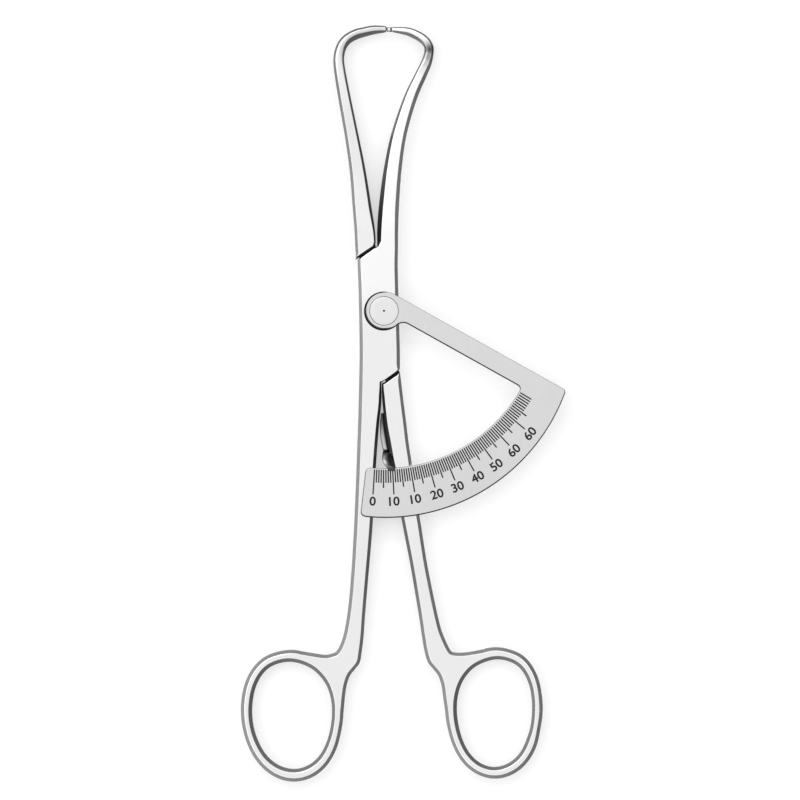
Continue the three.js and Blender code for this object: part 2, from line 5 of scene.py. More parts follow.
import bmesh
import bpy
import numpy as np
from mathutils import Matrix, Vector, geometry


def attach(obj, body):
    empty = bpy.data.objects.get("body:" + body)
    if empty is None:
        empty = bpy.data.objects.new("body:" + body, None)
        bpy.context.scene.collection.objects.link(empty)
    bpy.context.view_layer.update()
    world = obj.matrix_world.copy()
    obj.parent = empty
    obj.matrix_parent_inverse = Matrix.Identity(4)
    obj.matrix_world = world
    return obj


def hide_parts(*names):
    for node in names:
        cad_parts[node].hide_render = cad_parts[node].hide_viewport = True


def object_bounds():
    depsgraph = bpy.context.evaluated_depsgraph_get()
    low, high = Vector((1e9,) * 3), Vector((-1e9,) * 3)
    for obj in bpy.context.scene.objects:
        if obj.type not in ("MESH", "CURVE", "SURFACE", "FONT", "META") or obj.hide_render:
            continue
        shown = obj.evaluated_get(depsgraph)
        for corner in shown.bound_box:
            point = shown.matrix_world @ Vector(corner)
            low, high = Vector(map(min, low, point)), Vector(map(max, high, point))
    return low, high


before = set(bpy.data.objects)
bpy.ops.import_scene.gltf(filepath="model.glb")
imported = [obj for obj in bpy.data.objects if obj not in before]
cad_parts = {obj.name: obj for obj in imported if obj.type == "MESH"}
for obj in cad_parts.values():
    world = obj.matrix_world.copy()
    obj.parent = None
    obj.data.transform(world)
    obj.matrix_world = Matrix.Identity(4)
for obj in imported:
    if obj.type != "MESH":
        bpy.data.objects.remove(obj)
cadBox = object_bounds()
mm = 0.001
weld = mm / 1000
print("frame loaded:", sorted(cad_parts))


# Small sums that all pieces use

def mix(start, end, share):
    return start + (end - start) * share


def clamped(value):
    return max(0.0, min(1.0, value))


def eased(value):
    share = clamped(value)
    return share * share * (3 - 2 * share)


def heading(angle):
    turn = math.radians(angle)
    return (math.cos(turn), math.sin(turn))


def lineAt(normal, distance, x):
    return (distance - normal[0] * x) / normal[1]


# Value at a share t of the way from b to c, on the smooth curve through all four values
def curveAt(a, b, c, d, t):
    leave = (c - a) / 2
    arrive = (d - b) / 2
    return ((2 * b - 2 * c + leave + arrive) * t ** 3
            + (-3 * b + 3 * c - 2 * leave - arrive) * t ** 2 + leave * t + b)


# Smooth line through the knots; extended ends carry on straight, the others are held
def curveThrough(knots, steps, extended=False):
    first, last = knots[0], knots[-1]
    if extended:
        first = tuple(2 * a - b for a, b in zip(knots[0], knots[1]))
        last = tuple(2 * a - b for a, b in zip(knots[-1], knots[-2]))
    padded = [first] + list(knots) + [last]
    points = []
    for index in range(len(knots) - 1):
        for step in range(steps):
            points.append(tuple(curveAt(*values, step / steps) for values in zip(*padded[index:index + 4])))
    points.append(tuple(knots[-1]))
    return points


# Value at a share of a table of (share, value) rows
def tableAt(rows, share):
    for (low, a), (high, b) in zip(rows, rows[1:]):
        if share <= high:
            return mix(a, b, clamped((share - low) / max(high - low, 1e-9)))
    return rows[-1][1]


# Selecting and modifiers

def deselectAll():
    if bpy.context.object and bpy.context.object.mode != "OBJECT":
        bpy.ops.object.mode_set(mode="OBJECT")
    bpy.ops.object.select_all(action="DESELECT")


def makeActive(piece):
    deselectAll()
    piece.select_set(True)
    bpy.context.view_layer.objects.active = piece


def applyModifier(piece, kind, settings):
    makeActive(piece)
    bpy.ops.object.modifier_add(type=kind)
    modifier = piece.modifiers[-1]
    for name, value in settings.items():
        setattr(modifier, name, value)
    bpy.ops.object.modifier_apply(modifier=modifier.name)


def combine(piece, tool, operation):
    applyModifier(piece, "BOOLEAN", {"object": tool, "operation": operation, "solver": "EXACT"})
    bpy.data.objects.remove(tool)


def smoothed(piece, angle):
    makeActive(piece)
    bpy.ops.object.shade_smooth_by_angle(angle=math.radians(angle), keep_sharp_edges=False)
    applyModifier(piece, "WEIGHTED_NORMAL", {"mode": "FACE_AREA", "weight": 50, "keep_sharp": True})


# A closed ring of vertices, placed by code, and the same ring extruded on to its next place

def placeRing(piece, ring, places):
    mesh = bmesh.from_edit_mesh(piece.data)
    mesh.verts.ensure_lookup_table()
    for index, place in zip(ring, places):
        mesh.verts[index].co = [value * mm for value in place]
    bmesh.update_edit_mesh(piece.data)


def startRings(name, ringPlaces):
    deselectAll()
    rings = []
    total = 0
    for places in ringPlaces:
        bpy.ops.mesh.primitive_circle_add(vertices=len(places), radius=mm, fill_type="NOTHING")
        if not rings:
            piece = bpy.context.object
            piece.name = name
            bpy.ops.object.mode_set(mode="EDIT")
        rings.append(list(range(total, total + len(places))))
        total += len(places)
    for ring, places in zip(rings, ringPlaces):
        placeRing(piece, ring, places)
    bpy.ops.mesh.select_mode(type="VERT")
    return piece, rings


def selectOnly(piece, indices):
    mesh = bmesh.from_edit_mesh(piece.data)
    mesh.verts.ensure_lookup_table()
    chosen = set(indices)
    for face in mesh.faces:
        face.select = False
    for edge in mesh.edges:
        edge.select = False
    for vertex in mesh.verts:
        vertex.select = vertex.index in chosen
    mesh.select_flush(True)
    bmesh.update_edit_mesh(piece.data)


def extrudeRings(piece, rings, ringPlaces):
    selectOnly(piece, [index for ring in rings for index in ring])
    bpy.ops.mesh.extrude_edges_move()
    mesh = bmesh.from_edit_mesh(piece.data)
    mesh.verts.ensure_lookup_table()
    fresh = []
    for ring in rings:
        grown = []
        for index in ring:
            vertex = mesh.verts[index]
            ends = [edge.other_vert(vertex) for edge in vertex.link_edges]
            grown.append(next(end.index for end in ends if end.select))
        fresh.append(grown)
    for ring, places in zip(fresh, ringPlaces):
        placeRing(piece, ring, places)
    return fresh


def closeRings(piece, rings):
    selectOnly(piece, [index for ring in rings for index in ring])
    bpy.ops.mesh.fill(use_beauty=True)


# Even-odd test of many points against closed outlines at once
def insideOutlines(points, outlines):
    inside = np.zeros(len(points), bool)
    for outline in outlines:
        start = np.array(outline)
        end = np.roll(start, -1, axis=0)
        for (ax, ay), (bx, by) in zip(start, end):
            spans = (ay > points[:, 1]) != (by > points[:, 1])
            crossing = ax + (points[:, 1] - ay) * (bx - ax) / (by - ay if by != ay else 1)
            inside ^= spans & (points[:, 0] < crossing)
    return inside


# Flat of a forged face: the rings are filled with evenly spread triangles, so that a slow taper shades smoothly
faceGrid = {"rowShare": 0.866, "clearShare": 0.45, "samePlace": 1e-7}


def closeFace(piece, rings, heightAt, spacing):
    mesh = bmesh.from_edit_mesh(piece.data)
    mesh.verts.ensure_lookup_table()
    outlines = [[(mesh.verts[i].co.x / mm, mesh.verts[i].co.y / mm) for i in ring] for ring in rings]
    indices = [index for ring in rings for index in ring]
    places = np.array([place for outline in outlines for place in outline])
    low, high = places.min(0), places.max(0)
    rows = np.arange(low[1], high[1], spacing * faceGrid["rowShare"])
    seeds = np.array([(x + (number % 2) * spacing / 2, y) for number, y in enumerate(rows)
                      for x in np.arange(low[0], high[0], spacing)])
    seeds = seeds[insideOutlines(seeds, outlines)]
    room = np.array([np.hypot(*(places - seed).T).min() for seed in seeds]) if len(seeds) else np.array([])
    seeds = seeds[room > spacing * faceGrid["clearShare"]] if len(seeds) else seeds
    edges = []
    for ring in rings:
        offset = len(edges)
        edges += [(offset + i, offset + (i + 1) % len(ring)) for i in range(len(ring))]
    spots = [Vector(place) for place in places] + [Vector(seed) for seed in seeds]
    found, _, faces, origins, _, _ = geometry.delaunay_2d_cdt(spots, edges, [], 1, faceGrid["samePlace"])
    if len(found) != len(spots):
        crossed = [(round(p.x, 1), round(p.y, 1)) for p, source in zip(found, origins) if not source]
        print("  crossing rims on", piece.name, len(found) - len(spots), crossed)
    grown = {}
    for number, (place, source) in enumerate(zip(found, origins)):
        if source and source[0] < len(indices):
            grown[number] = mesh.verts[indices[source[0]]]
        else:
            grown[number] = mesh.verts.new((place.x * mm, place.y * mm, heightAt(place.x, place.y) * mm))
    centres = np.array([[sum(found[i][axis] for i in face) / 3 for axis in range(2)] for face in faces])
    for face, opening in zip(faces, insideOutlines(centres, outlines[1:])):
        if not opening:
            mesh.faces.new([grown[i] for i in face])
    bmesh.update_edit_mesh(piece.data)


def finishMesh(piece):
    bpy.ops.mesh.select_all(action="SELECT")
    bpy.ops.mesh.normals_make_consistent(inside=False)
    bpy.ops.object.mode_set(mode="OBJECT")


# Straight-sided body over an outline
def prism(name, outline, low, high):
    piece, lower = startRings(name, [[(x, y, low) for x, y in outline]])
    upper = extrudeRings(piece, lower, [[(x, y, high) for x, y in outline]])
    closeRings(piece, lower)
    closeRings(piece, upper)
    finishMesh(piece)
    return piece


# Turned body: a profile of (radius, height) drawn by extruding one vertex, then spun
def turnedPiece(name, profile, sides):
    deselectAll()
    bpy.ops.mesh.primitive_plane_add(size=mm)
    piece = bpy.context.object
    piece.name = name
    bpy.ops.object.mode_set(mode="EDIT")
    bpy.ops.mesh.merge(type="CENTER")
    placeRing(piece, [0], [(profile[0][0], 0, profile[0][1])])
    for (fromRadius, fromHeight), (radius, height) in zip(profile, profile[1:]):
        step = ((radius - fromRadius) * mm, 0, (height - fromHeight) * mm)
        bpy.ops.mesh.extrude_vertices_move(TRANSFORM_OT_translate={"value": step})
    bpy.ops.mesh.select_all(action="SELECT")
    bpy.ops.mesh.spin(steps=sides, angle=2 * math.pi, center=(0, 0, 0), axis=(0, 0, 1))
    bpy.ops.mesh.select_all(action="SELECT")
    bpy.ops.mesh.remove_doubles(threshold=weld)
    finishMesh(piece)
    return piece


# Forged edges: each point of an outline has a chamfer width, and both edges of the chamfer are rounded.
# A rim is a list of (x, y, width, face rounding, painted flank shade) rows with the metal on its left.

def rimOf(points, widths, rounds, flanks=((0, 0), (1, 0))):
    lengths = [0.0]
    for (ax, ay), (bx, by) in zip(points, points[1:]):
        lengths.append(lengths[-1] + math.hypot(bx - ax, by - ay))
    total = lengths[-1] or 1
    return [(x, y) + tuple(tableAt(rows, length / total) for rows in (widths, rounds, flanks))
            for (x, y), length in zip(points, lengths)]


# Rows nearer than this are one
rowsApart = 0.02


def joinRims(*rims):
    joined = []
    for rim in rims:
        for row in rim:
            if not joined or math.hypot(row[0] - joined[-1][0], row[1] - joined[-1][1]) > rowsApart:
                joined.append(row)
    if math.hypot(joined[0][0] - joined[-1][0], joined[0][1] - joined[-1][1]) < rowsApart:
        joined.pop()
    return joined


def turnsLeft(rim):
    area = 0
    for row, following in zip(rim, rim[1:] + rim[:1]):
        area += row[0] * following[1] - following[0] * row[1]
    return area > 0


# Way into the metal at each point, long enough to keep the chamfer's width round a corner
def inwards(rim):
    ways = []
    for index, row in enumerate(rim):
        before = rim[index - 1]
        after = rim[(index + 1) % len(rim)]
        normals = []
        for start, end in ((before, row), (row, after)):
            length = math.hypot(end[0] - start[0], end[1] - start[1])
            normals.append((-(end[1] - start[1]) / length, (end[0] - start[0]) / length))
        (ax, ay), (bx, by) = normals
        spread = max(1 + ax * bx + ay * by, 0.5)
        ways.append(((ax + bx) / spread, (ay + by) / spread))
    return ways


# Profile of the forged edge as (inset, height) pairs below a face, from the wall to the flat
def edgeProfile(width, steepness, wallRound, faceRound, steps):
    drop = width * steepness
    slant = math.hypot(width, drop)
    across, up = width / slant, drop / slant
    wall = min(wallRound, slant * 0.45)
    face = min(faceRound, slant * 0.5)
    profile = []
    for step in range(steps + 1):
        t = step / steps
        profile.append((wall * across * t * t, -drop - wall * (1 - t) ** 2 + wall * up * t * t))
    for step in range(steps + 1):
        t = step / steps
        profile.append((width - face * across * (1 - t) ** 2 + face * t * t, -face * up * (1 - t) ** 2))
    profile.append((width + face * 1.25 + 0.05, 0))
    return profile


def forgedPiece(name, rims, lowAt, highAt, steepness=0.72, wallRound=0.06, steps=3, spacing=1.6):
    ways = [inwards(rim) for rim in rims]
    profiles = [[edgeProfile(row[2], steepness, wallRound, row[3], steps) for row in rim] for rim in rims]
    count = len(profiles[0][0])

    def placesAt(level, back):
        places = []
        for rim, way, profile in zip(rims, ways, profiles):
            ring = []
            for row, (wayX, wayY), pairs in zip(rim, way, profile):
                inset, height = pairs[level]
                x = row[0] + wayX * inset
                y = row[1] + wayY * inset
                ring.append((x, y, lowAt(x, y) - height if back else highAt(x, y) + height))
            places.append(ring)
        return places

    piece, backRings = startRings(name, placesAt(count - 1, True))
    rings = backRings
    for level in range(count - 2, -1, -1):
        rings = extrudeRings(piece, rings, placesAt(level, True))
    for level in range(count):
        rings = extrudeRings(piece, rings, placesAt(level, False))
    closeFace(piece, backRings, lowAt, spacing)
    closeFace(piece, rings, highAt, spacing)
    finishMesh(piece)
    return piece


# Sizes that the pieces share, as in the model
joint = {
    "boxDepth": 6.6, "boxLeft": 7.85, "boxRight": 4.8, "cheekThickness": 2.1,
    "shoulderReach": 18.2, "shoulderAngle": 125.5, "shoulderGap": 0.5,
    "tongueLeft": 6.36, "tongueRight": 3.56, "tongueLean": 18, "tongueInset": 0.4,
    "flankClearance": 0.15, "faceClearance": 0.06, "plateClearance": 0.3,
    "pinRadius": 1.6, "pinFit": 0.03, "pinRunning": 0.06,
    "splitSide": 0.6, "splitGap": 0.45, "smoothAngle": 32,
}
middle = joint["boxDepth"] / 2
upperNormal = heading(joint["shoulderAngle"])
lowerNormal = heading(joint["shoulderAngle"] + 180)
cheekReach = joint["shoulderReach"] - joint["shoulderGap"]
frontInner = -(joint["splitSide"] + joint["splitGap"] / 2)
rearInner = -(joint["splitSide"] - joint["splitGap"] / 2)
frontFork = lineAt(lowerNormal, cheekReach, frontInner)
rearFork = lineAt(lowerNormal, joint["shoulderReach"], rearInner)
scale = {
    "thickness": 1.2, "arcInner": 49.1, "arcBand": 10.6, "rimDrop": 4.9, "rimShift": 0.54,
    "eyeRadius": 6.1, "eyeFillet": 3, "endCorner": 1.8, "rimCorner": 1.2, "armCorner": 1.5,
    "zeroAngle": 3.1, "firstMark": -10, "lastMark": 79, "firstMargin": 3.2, "lastMargin": 4.4,
    "markInset": 0.45, "marks": (4.1, 5.7, 7.8),
    "headTop": 4.46, "headFoot": 3.5, "headFit": 0.1,
    # The plate's edges: chamfer widths, and how dark their painted shade is
    "edges": (0.14, 0.4), "edgeShade": (0.35, 0.85), "eyeTrim": 0.36,
}
rimRadius = scale["arcInner"] + scale["arcBand"]
plateBack = joint["boxDepth"]
plateFront = plateBack + scale["thickness"]
ringDepth = 5

# Jaws: rows of reach, bow, width, depth, outer chamfer, inner chamfer; the chamfers are shares of the width.
# Shade tables give the painted shade on the jaws' chamfers along the reach
jaws = {
    "outerShade": [(0.7, 0), (0.85, 0.3), (0.95, 0.42), (1, 0.3)],
    "reach": 88, "bow": 12.6, "root": 6.6, "tipSide": 1, "tipGap": 0.25, "steps": 8,
    "stubLength": 1.15, "slimFrom": (0.8, 0.97), "softEdge": 0.09, "softShare": 0.32, "tipEdge": (0.3, 0.12),
}
rightJaw = {
    "side": 1, "rootSide": 2.12, "tipReach": 0.99, "tipWidth": 0.24,
    "innerShade": [(0.28, 1), (0.36, 0.95), (0.5, 0.75), (0.85, 0.6), (0.93, 0.55), (1, 0.6)],
    "rows": [
        (0.13, 0, 1, 1, 0.17, 0.18),
        (0.22, 0, 0.99, 1, 0.17, 0.18),
        (0.294, 0, 1, 1, 0.18, 0.21),
        (0.379, 0.038, 0.958, 0.95, 0.2, 0.22),
        (0.507, 0.142, 0.849, 0.87, 0.21, 0.2),
        (0.634, 0.305, 0.726, 0.78, 0.23, 0.18),
        (0.762, 0.568, 0.627, 0.68, 0.29, 0.16),
        (0.847, 0.816, 0.552, 0.61, 0.34, 0.15),
        (0.89, 0.941, 0.509, 0.58, 0.33, 0.19),
        (0.922, 1, 0.448, 0.55, 0.3, 0.24),
        (0.94, 0.979, 0.439, 0.53, 0.28, 0.3),
        (0.957, 0.869, 0.443, 0.5, 0.25, 0.38),
        (0.975, 0.665, 0.41, 0.45, 0.24, 0.42),
        (0.983, 0.504, 0.34, 0.4, 0.26, 0.4),
        (0.99, 0, 0.24, 0.33, 0.28, 0.38),
    ],
}
leftJaw = {
    "side": -1, "rootSide": 2.9,
    "innerShade": [(0.25, 0.95), (0.4, 0.7), (0.85, 0.55), (0.95, 0.5), (1, 0.55)],
    "rows": [
        (0.15, 0, 0.856, 1, 0.17, 0.12),
        (0.234, 0, 0.93, 1, 0.16, 0.13),
        (0.294, 0.02, 0.939, 1, 0.16, 0.14),
        (0.379, 0.119, 0.887, 0.95, 0.17, 0.15),
        (0.507, 0.307, 0.75, 0.87, 0.2, 0.16),
        (0.634, 0.538, 0.651, 0.78, 0.22, 0.17),
        (0.762, 0.779, 0.592, 0.68, 0.24, 0.18),
        (0.847, 0.93, 0.545, 0.61, 0.25, 0.19),
        (0.89, 0.984, 0.513, 0.58, 0.26, 0.22),
        (0.916, 0.958, 0.5, 0.55, 0.26, 0.27),
        (0.937, 0.882, 0.496, 0.53, 0.26, 0.35),
        (0.953, 0.748, 0.49, 0.5, 0.25, 0.44),
        (0.966, 0.518, 0.49, 0.47, 0.24, 0.48),
        (0.973, 0.317, 0.462, 0.44, 0.24, 0.47),
        (0.982, 0.007, 0.425, 0.4, 0.25, 0.43),
        (0.989, 0, 0.31, 0.33, 0.28, 0.38),
    ],
}


# Both edges of a jaw as rims from the box to the tip, and its middle line with the depth at each point
def jawRails(jaw, tipEnd):
    side = jaw["side"]
    start = -jaw["rootSide"] if side > 0 else jaw["rootSide"]
    knots = []
    for reach, bow, width, depth, outerShare, innerShare in jaw["rows"]:
        x = side * mix(start, jaws["bow"], bow)
        knots.append([x, reach * jaws["reach"], width * jaws["root"], depth * joint["boxDepth"],
                      outerShare, innerShare])
    knots[-1][0] = tipEnd
    line = curveThrough([tuple(knot) for knot in knots], jaws["steps"], extended=True)
    inner, outer, spine = [], [], []
    for index, (x, y, width, depth, outerShare, innerShare) in enumerate(line):
        before = line[max(index - 1, 0)]
        after = line[min(index + 1, len(line) - 1)]
        length = math.hypot(after[0] - before[0], after[1] - before[1])
        outX = side * (after[1] - before[1]) / length
        outY = -side * (after[0] - before[0]) / length
        if index == len(line) - 1:
            outX, outY = 0, 1
        share = y / jaws["reach"]
        slimStart, slimEnd = jaws["slimFrom"]
        spare = 1 - outerShare - innerShare
        slim = eased((share - slimStart) / (slimEnd - slimStart))
        soft = mix(jaws["softEdge"], spare * width * jaws["softShare"], slim)
        inner.append((x, y, innerShare * width, soft, tableAt(jaw["innerShade"], share)))
        outer.append((x + outX * width, y + outY * width, outerShare * width, soft,
                      -tableAt(jaws["outerShade"], share)))
        spine.append((x + outX * width / 2, y + outY * width / 2, min(depth, joint["boxDepth"])))
    return inner, outer, spine


def depthOnSpine(spine, x, y):
    best, depth = 1e9, spine[0][2]
    for (ax, ay, aDepth), (bx, by, bDepth) in zip(spine, spine[1:]):
        alongX, alongY = bx - ax, by - ay
        share = clamped(((x - ax) * alongX + (y - ay) * alongY) / (alongX ** 2 + alongY ** 2))
        gap = math.hypot(x - ax - share * alongX, y - ay - share * alongY)
        if gap < best:
            best, depth = gap, mix(aDepth, bDepth, share)
    return depth


# Handles: shank rows are way, inner side, outer side; necks and rings are shares of the ring's half sizes
leftHandle = {
    "mirror": 1, "drop": 126.05, "side": 28.95, "wide": 12.3, "neckEnds": (1.432, 1.022),
    "fork": frontFork, "innerTop": frontInner, "outerTop": -joint["boxLeft"],
    "shank": [
        (0.078, 0, 0.02), (0.164, 0.128, 0.057), (0.282, 0.259, 0.127), (0.392, 0.36, 0.19),
        (0.576, 0.508, 0.316), (0.765, 0.734, 0.5), (0.906, 0.904, 0.72), (1, 1, 1),
    ],
    "neckOuter": [(0.905, 0.97), (0.774, 0.917), (0.65, 0.906), (0.389, 0.935)],
    "neckInner": [
        (1.396, 0.955), (1.357, 0.789), (1.266, 0.689), (1.163, 0.587), (1.096, 0.434),
        (1.062, 0.255), (1.047, 0.134),
    ],
    "opening": [
        1.029, 1.044, 1.043, 1.01, 0.978, 0.998, 1.045, 1.038, 1.01,
        0.991, 0.979, 0.973, 0.985, 1, 1.029, 1.047, 1.032, 1.022,
    ],
    "band": [
        1.032, 1.04, 1, 0.98, 0.981, 0.986, 1.032, 1.041, 1.02,
        0.999, 0.985, 0.982, 0.988, 1.004, 1.027, 1.045, 1.037, 1.021,
    ],
}
rightHandle = {
    "mirror": -1, "drop": 125.4, "side": 34.48, "wide": 11.6, "neckEnds": (1.509, 1.062),
    "fork": rearFork, "innerTop": rearInner, "outerTop": joint["boxRight"],
    "shank": [
        (0.063, 0, 0.091), (0.159, 0.046, 0.161), (0.234, 0.129, 0.212), (0.321, 0.227, 0.287),
        (0.452, 0.376, 0.389), (0.571, 0.518, 0.503), (0.714, 0.698, 0.632), (0.857, 0.856, 0.795),
        (0.952, 0.956, 0.916), (1, 1, 1),
    ],
    "neckOuter": [(0.913, 0.948), (0.816, 0.91), (0.678, 0.906), (0.542, 0.915), (0.438, 0.928)],
    "neckInner": [
        (1.449, 0.925), (1.378, 0.757), (1.265, 0.653), (1.163, 0.552), (1.099, 0.409),
        (1.064, 0.226), (1.04, 0.104),
    ],
    "opening": [
        1.006, 1.025, 1.033, 1.01, 0.976, 1.011, 1.075, 1.066, 1.034,
        1.01, 1.003, 1, 1.02, 1.018, 1.017, 1.009, 0.994, 0.992,
    ],
    "band": [
        1.02, 1.04, 1, 0.98, 0.984, 0.999, 1.052, 1.05, 1.02,
        1.002, 0.988, 1.013, 1.019, 1.007, 1.001, 1.004, 0.999, 0.999,
    ],
}
# The last entry is the even painted shade on the hole's chamfer
ring = {"tall": 16.7, "bandSide": 3.48, "bandEnd": 3.95, "start": 80, "stop": 360, "neckStart": 1.18, "steps": 150,
        "edgeSoft": [(0, 0.1), (0.2, 0.22), (0.8, 0.22), (1, 0.1)], "holeSoft": 0.2, "holeShade": 0.3, "neckSteps": 8}


def ringPoint(handle, across, up):
    return (handle["mirror"] * (across - handle["side"]), up - handle["drop"])


def ringEdge(handle, wide, tall, shares, start, stop):
    padded = shares[-1:] + shares + shares[:2]
    points = []
    steps = round(ring["steps"] * (stop - start) / 360)
    for step in range(steps + 1):
        angle = mix(start, stop, step / steps)
        place = (angle % 360) / 360 * len(shares)
        index = min(int(place), len(shares) - 1)
        share = curveAt(*padded[index:index + 4], place - index)
        x, y = heading(angle)
        radius = share / math.hypot(x / wide, y / tall)
        points.append(ringPoint(handle, radius * x, radius * y))
    return points


def outerSizes(handle):
    return handle["wide"] + ring["bandSide"], ring["tall"] + ring["bandEnd"]


def handleEnd(handle):
    return -handle["drop"] + ring["neckStart"] * outerSizes(handle)[1]


def shankEdge(handle, outer):
    ends = handle["neckEnds"]
    wide = outerSizes(handle)[0]
    top = handle["outerTop"] if outer else handle["innerTop"]
    end = -handle["mirror"] * (handle["side"] - ends[1 if outer else 0] * wide)
    return [(mix(top, end, row[2 if outer else 1]), mix(handle["fork"], handleEnd(handle), row[0]))
            for row in handle["shank"]]


shankWidths = [(0, 1.15), (0.15, 1.1), (0.8, 1), (0.96, 0.85), (1, 0.5)]
bandWidths = [(0, 1.15), (0.3, 1.25), (0.6, 1.25), (1, 1.15)]


# Outside of a handle: down the outer side, round the ring, up the inner side; for the right one seen mirrored
# The inner side's chamfer carries painted shade, darkest towards the fork
def handleRims(handle, outerStart, outerWidths, innerShades):
    wide, tall = outerSizes(handle)
    neckOuter = [ringPoint(handle, x * wide, y * tall) for x, y in handle["neckOuter"]]
    neckInner = [ringPoint(handle, x * wide, y * tall) for x, y in handle["neckInner"]]
    band = ringEdge(handle, wide, tall, handle["band"], ring["start"], ring["stop"])
    outer = curveThrough(outerStart + shankEdge(handle, True) + neckOuter + [band[0]], ring["neckSteps"])
    inner = curveThrough([band[-1]] + neckInner[::-1] + shankEdge(handle, False)[::-1]
                         + [(handle["innerTop"], handle["fork"])], ring["neckSteps"])
    soft = [(0, jaws["softEdge"]), (1, jaws["softEdge"])]
    return [rimOf(outer, outerWidths, soft), rimOf(band, bandWidths, ring["edgeSoft"]),
            rimOf(inner, shankWidths, soft, innerShades)]


# The hole's chamfer carries an even painted shade
def holeRim(handle, widths):
    points = ringEdge(handle, handle["wide"], ring["tall"], handle["opening"], 0, 360)[:-1]
    if handle["mirror"] > 0:
        points = points[::-1]
        widths = [(1 - share, width) for share, width in widths[::-1]]
    return rimOf(points, widths, *([(0, ring[name]), (1, ring[name])] for name in ("holeSoft", "holeShade")))


def handleHigh(handle, top, start):
    end = handleEnd(handle)
    return lambda y: mix(top, ringDepth, eased((y - start) / (end - start)))


# Between two corners in even steps
def straight(start, end, steps):
    return [(mix(start[0], end[0], step / steps), mix(start[1], end[1], step / steps)) for step in range(steps + 1)]


# Rounded end between the last points of two rims
def roundedEnd(start, corner, end, steps=4):
    points = []
    for step in range(steps + 1):
        t = step / steps
        points.append(tuple(start[axis] * (1 - t) ** 2 + 2 * corner[axis] * t * (1 - t) + end[axis] * t * t
                            for axis in range(2)))
    return points


# Last part of a jaw: the rims stop short of the tip and two rounded corners close it
def tipRims(outer, inner, radius):
    outerEnd, innerEnd = outer[-1], inner[-1]

    def shortened(rim):
        return [row for row in rim if math.hypot(row[0] - rim[-1][0], row[1] - rim[-1][1]) > radius]

    outerKept, innerKept = shortened(outer), shortened(inner)
    centre = mix(outerEnd[1], innerEnd[1], 0.5)
    half = (outerEnd[0], centre)
    width = outerKept[-1][2]
    soft = outerKept[-1][3]
    first = roundedEnd(outerKept[-1][:2], outerEnd[:2], half)
    second = roundedEnd(half, innerEnd[:2], innerKept[-1][:2])
    edge, edgeSoft = jaws["tipEdge"]
    cap = rimOf(first + second[1:], [(0, width), (0.5, edge), (1, innerKept[-1][2])],
                [(0, soft), (0.5, edgeSoft), (1, soft)], [(0, 0), (1, innerKept[-1][4])])
    return outerKept, cap, innerKept


# Wall on one side of the slot: what neither the closed nor the open tongue reaches
def slotWallPoints(distance, lean, turn):
    clear = distance + joint["flankClearance"]
    far = 10 * joint["boxDepth"]
    middleWay = heading(lean + turn / 2)
    reach = clear / math.cos(math.radians(turn / 2))
    apex = (middleWay[0] * reach, middleWay[1] * reach)
    corners = [apex]
    for angle in (lean + turn - 90, lean + turn / 2, lean + 90):
        way = heading(angle)
        corners.append((apex[0] + way[0] * far, apex[1] + way[1] * far))
    return corners


measuringReach = math.hypot(jaws["reach"], jaws["tipSide"])


# Chord law: the tips stand 2 R sin(turn / 2) apart
def turnAt(reading):
    return math.degrees(2 * math.asin(reading / (2 * measuringReach)))


# Chamfers and walls are painted with shade, standing in for their dark reflections and the shade in the gaps: each
# vertex on a slope takes the nearest rim's tone.
# Above "fadesFrom" that tone runs across the chamfer, on inner rims to the face and on outer ones from the edge.
skin = {
    "wall": 0.42, "wallFrom": (0.35, 0.15), "slopeFrom": (0.975, 0.925), "reach": 0.4,
    "fadesFrom": 55, "evenShare": 0.85, "inner": (0.4, 1.1), "outer": (1.1, 0.2),
}


def paintFlanks(piece, rims, shadeSpots=()):
    rows = np.array([row for rim in rims for row in rim])
    layer = piece.data.attributes.new("flank", "FLOAT", "POINT")
    tones = []
    for vertex in piece.data.vertices:
        x, y = vertex.co.x / mm, vertex.co.y / mm
        gaps = np.hypot(rows[:, 0] - x, rows[:, 1] - y)
        nearest = rows[np.argmin(gaps)]
        slope, wall = (clamped((start - abs(vertex.normal.z)) / (start - end))
                       for start, end in (skin["slopeFrom"], skin["wallFrom"]))
        share = clamped(gaps.min() / nearest[2]) if y > skin["fadesFrom"] else skin["evenShare"]
        tone = nearest[4] * mix(*skin["inner"], share) if nearest[4] > 0 else -nearest[4] * mix(*skin["outer"], share)
        tone = tone * slope if gaps.min() < nearest[2] + skin["reach"] else 0
        tone = max(tone, skin["wall"] * wall)
        # Round spots of painted dark reflection on the jaws' bends
        for shadeX, shadeY, radius, depth in shadeSpots:
            tone = max(tone, depth * math.exp(-((x - shadeX) ** 2 + (y - shadeY) ** 2) / radius ** 2))
        tones.append(tone)
    layer.data.foreach_set("value", tones)


def nearTo(x, y, spots, reach):
    return min(math.hypot(x - spotX, y - spotY) for spotX, spotY in spots) < reach


# Rows of a rim that lie clear of a sharp corner, so that their chamfers don't run across the other edge's
def clearOf(rim, corner, reach):
    return [row for row in rim if row[:2] == tuple(corner) or not nearTo(*row[:2], [corner], reach)]


# Faces in the joint's gaps, grooves and seams are painted with shade: they take the piece's second material
def markSoiled(piece, isSoiled):
    for face in piece.data.polygons:
        x, y, z = (value / mm for value in face.center)
        face.material_index = 1 if isSoiled(x, y, z, face.normal) else 0


# Faces between two distances from the pivot along either shoulder's normal, and steeper than a slope
def onShoulder(x, y, normal, low, high, slope):
    for way in (upperNormal, lowerNormal):
        distance = x * way[0] + y * way[1]
        if low < distance < high and abs(normal[0] * way[0] + normal[1] * way[1]) >= slope:
            return all(x * w[0] + y * w[1] < high for w in (upperNormal, lowerNormal))
    return False


rivet = {"tailRadius": 2.5, "tailDepth": 0.9, "dimpleRadius": 0.3, "dimpleDepth": 0.3, "edge": 0.04, "sides": 128}
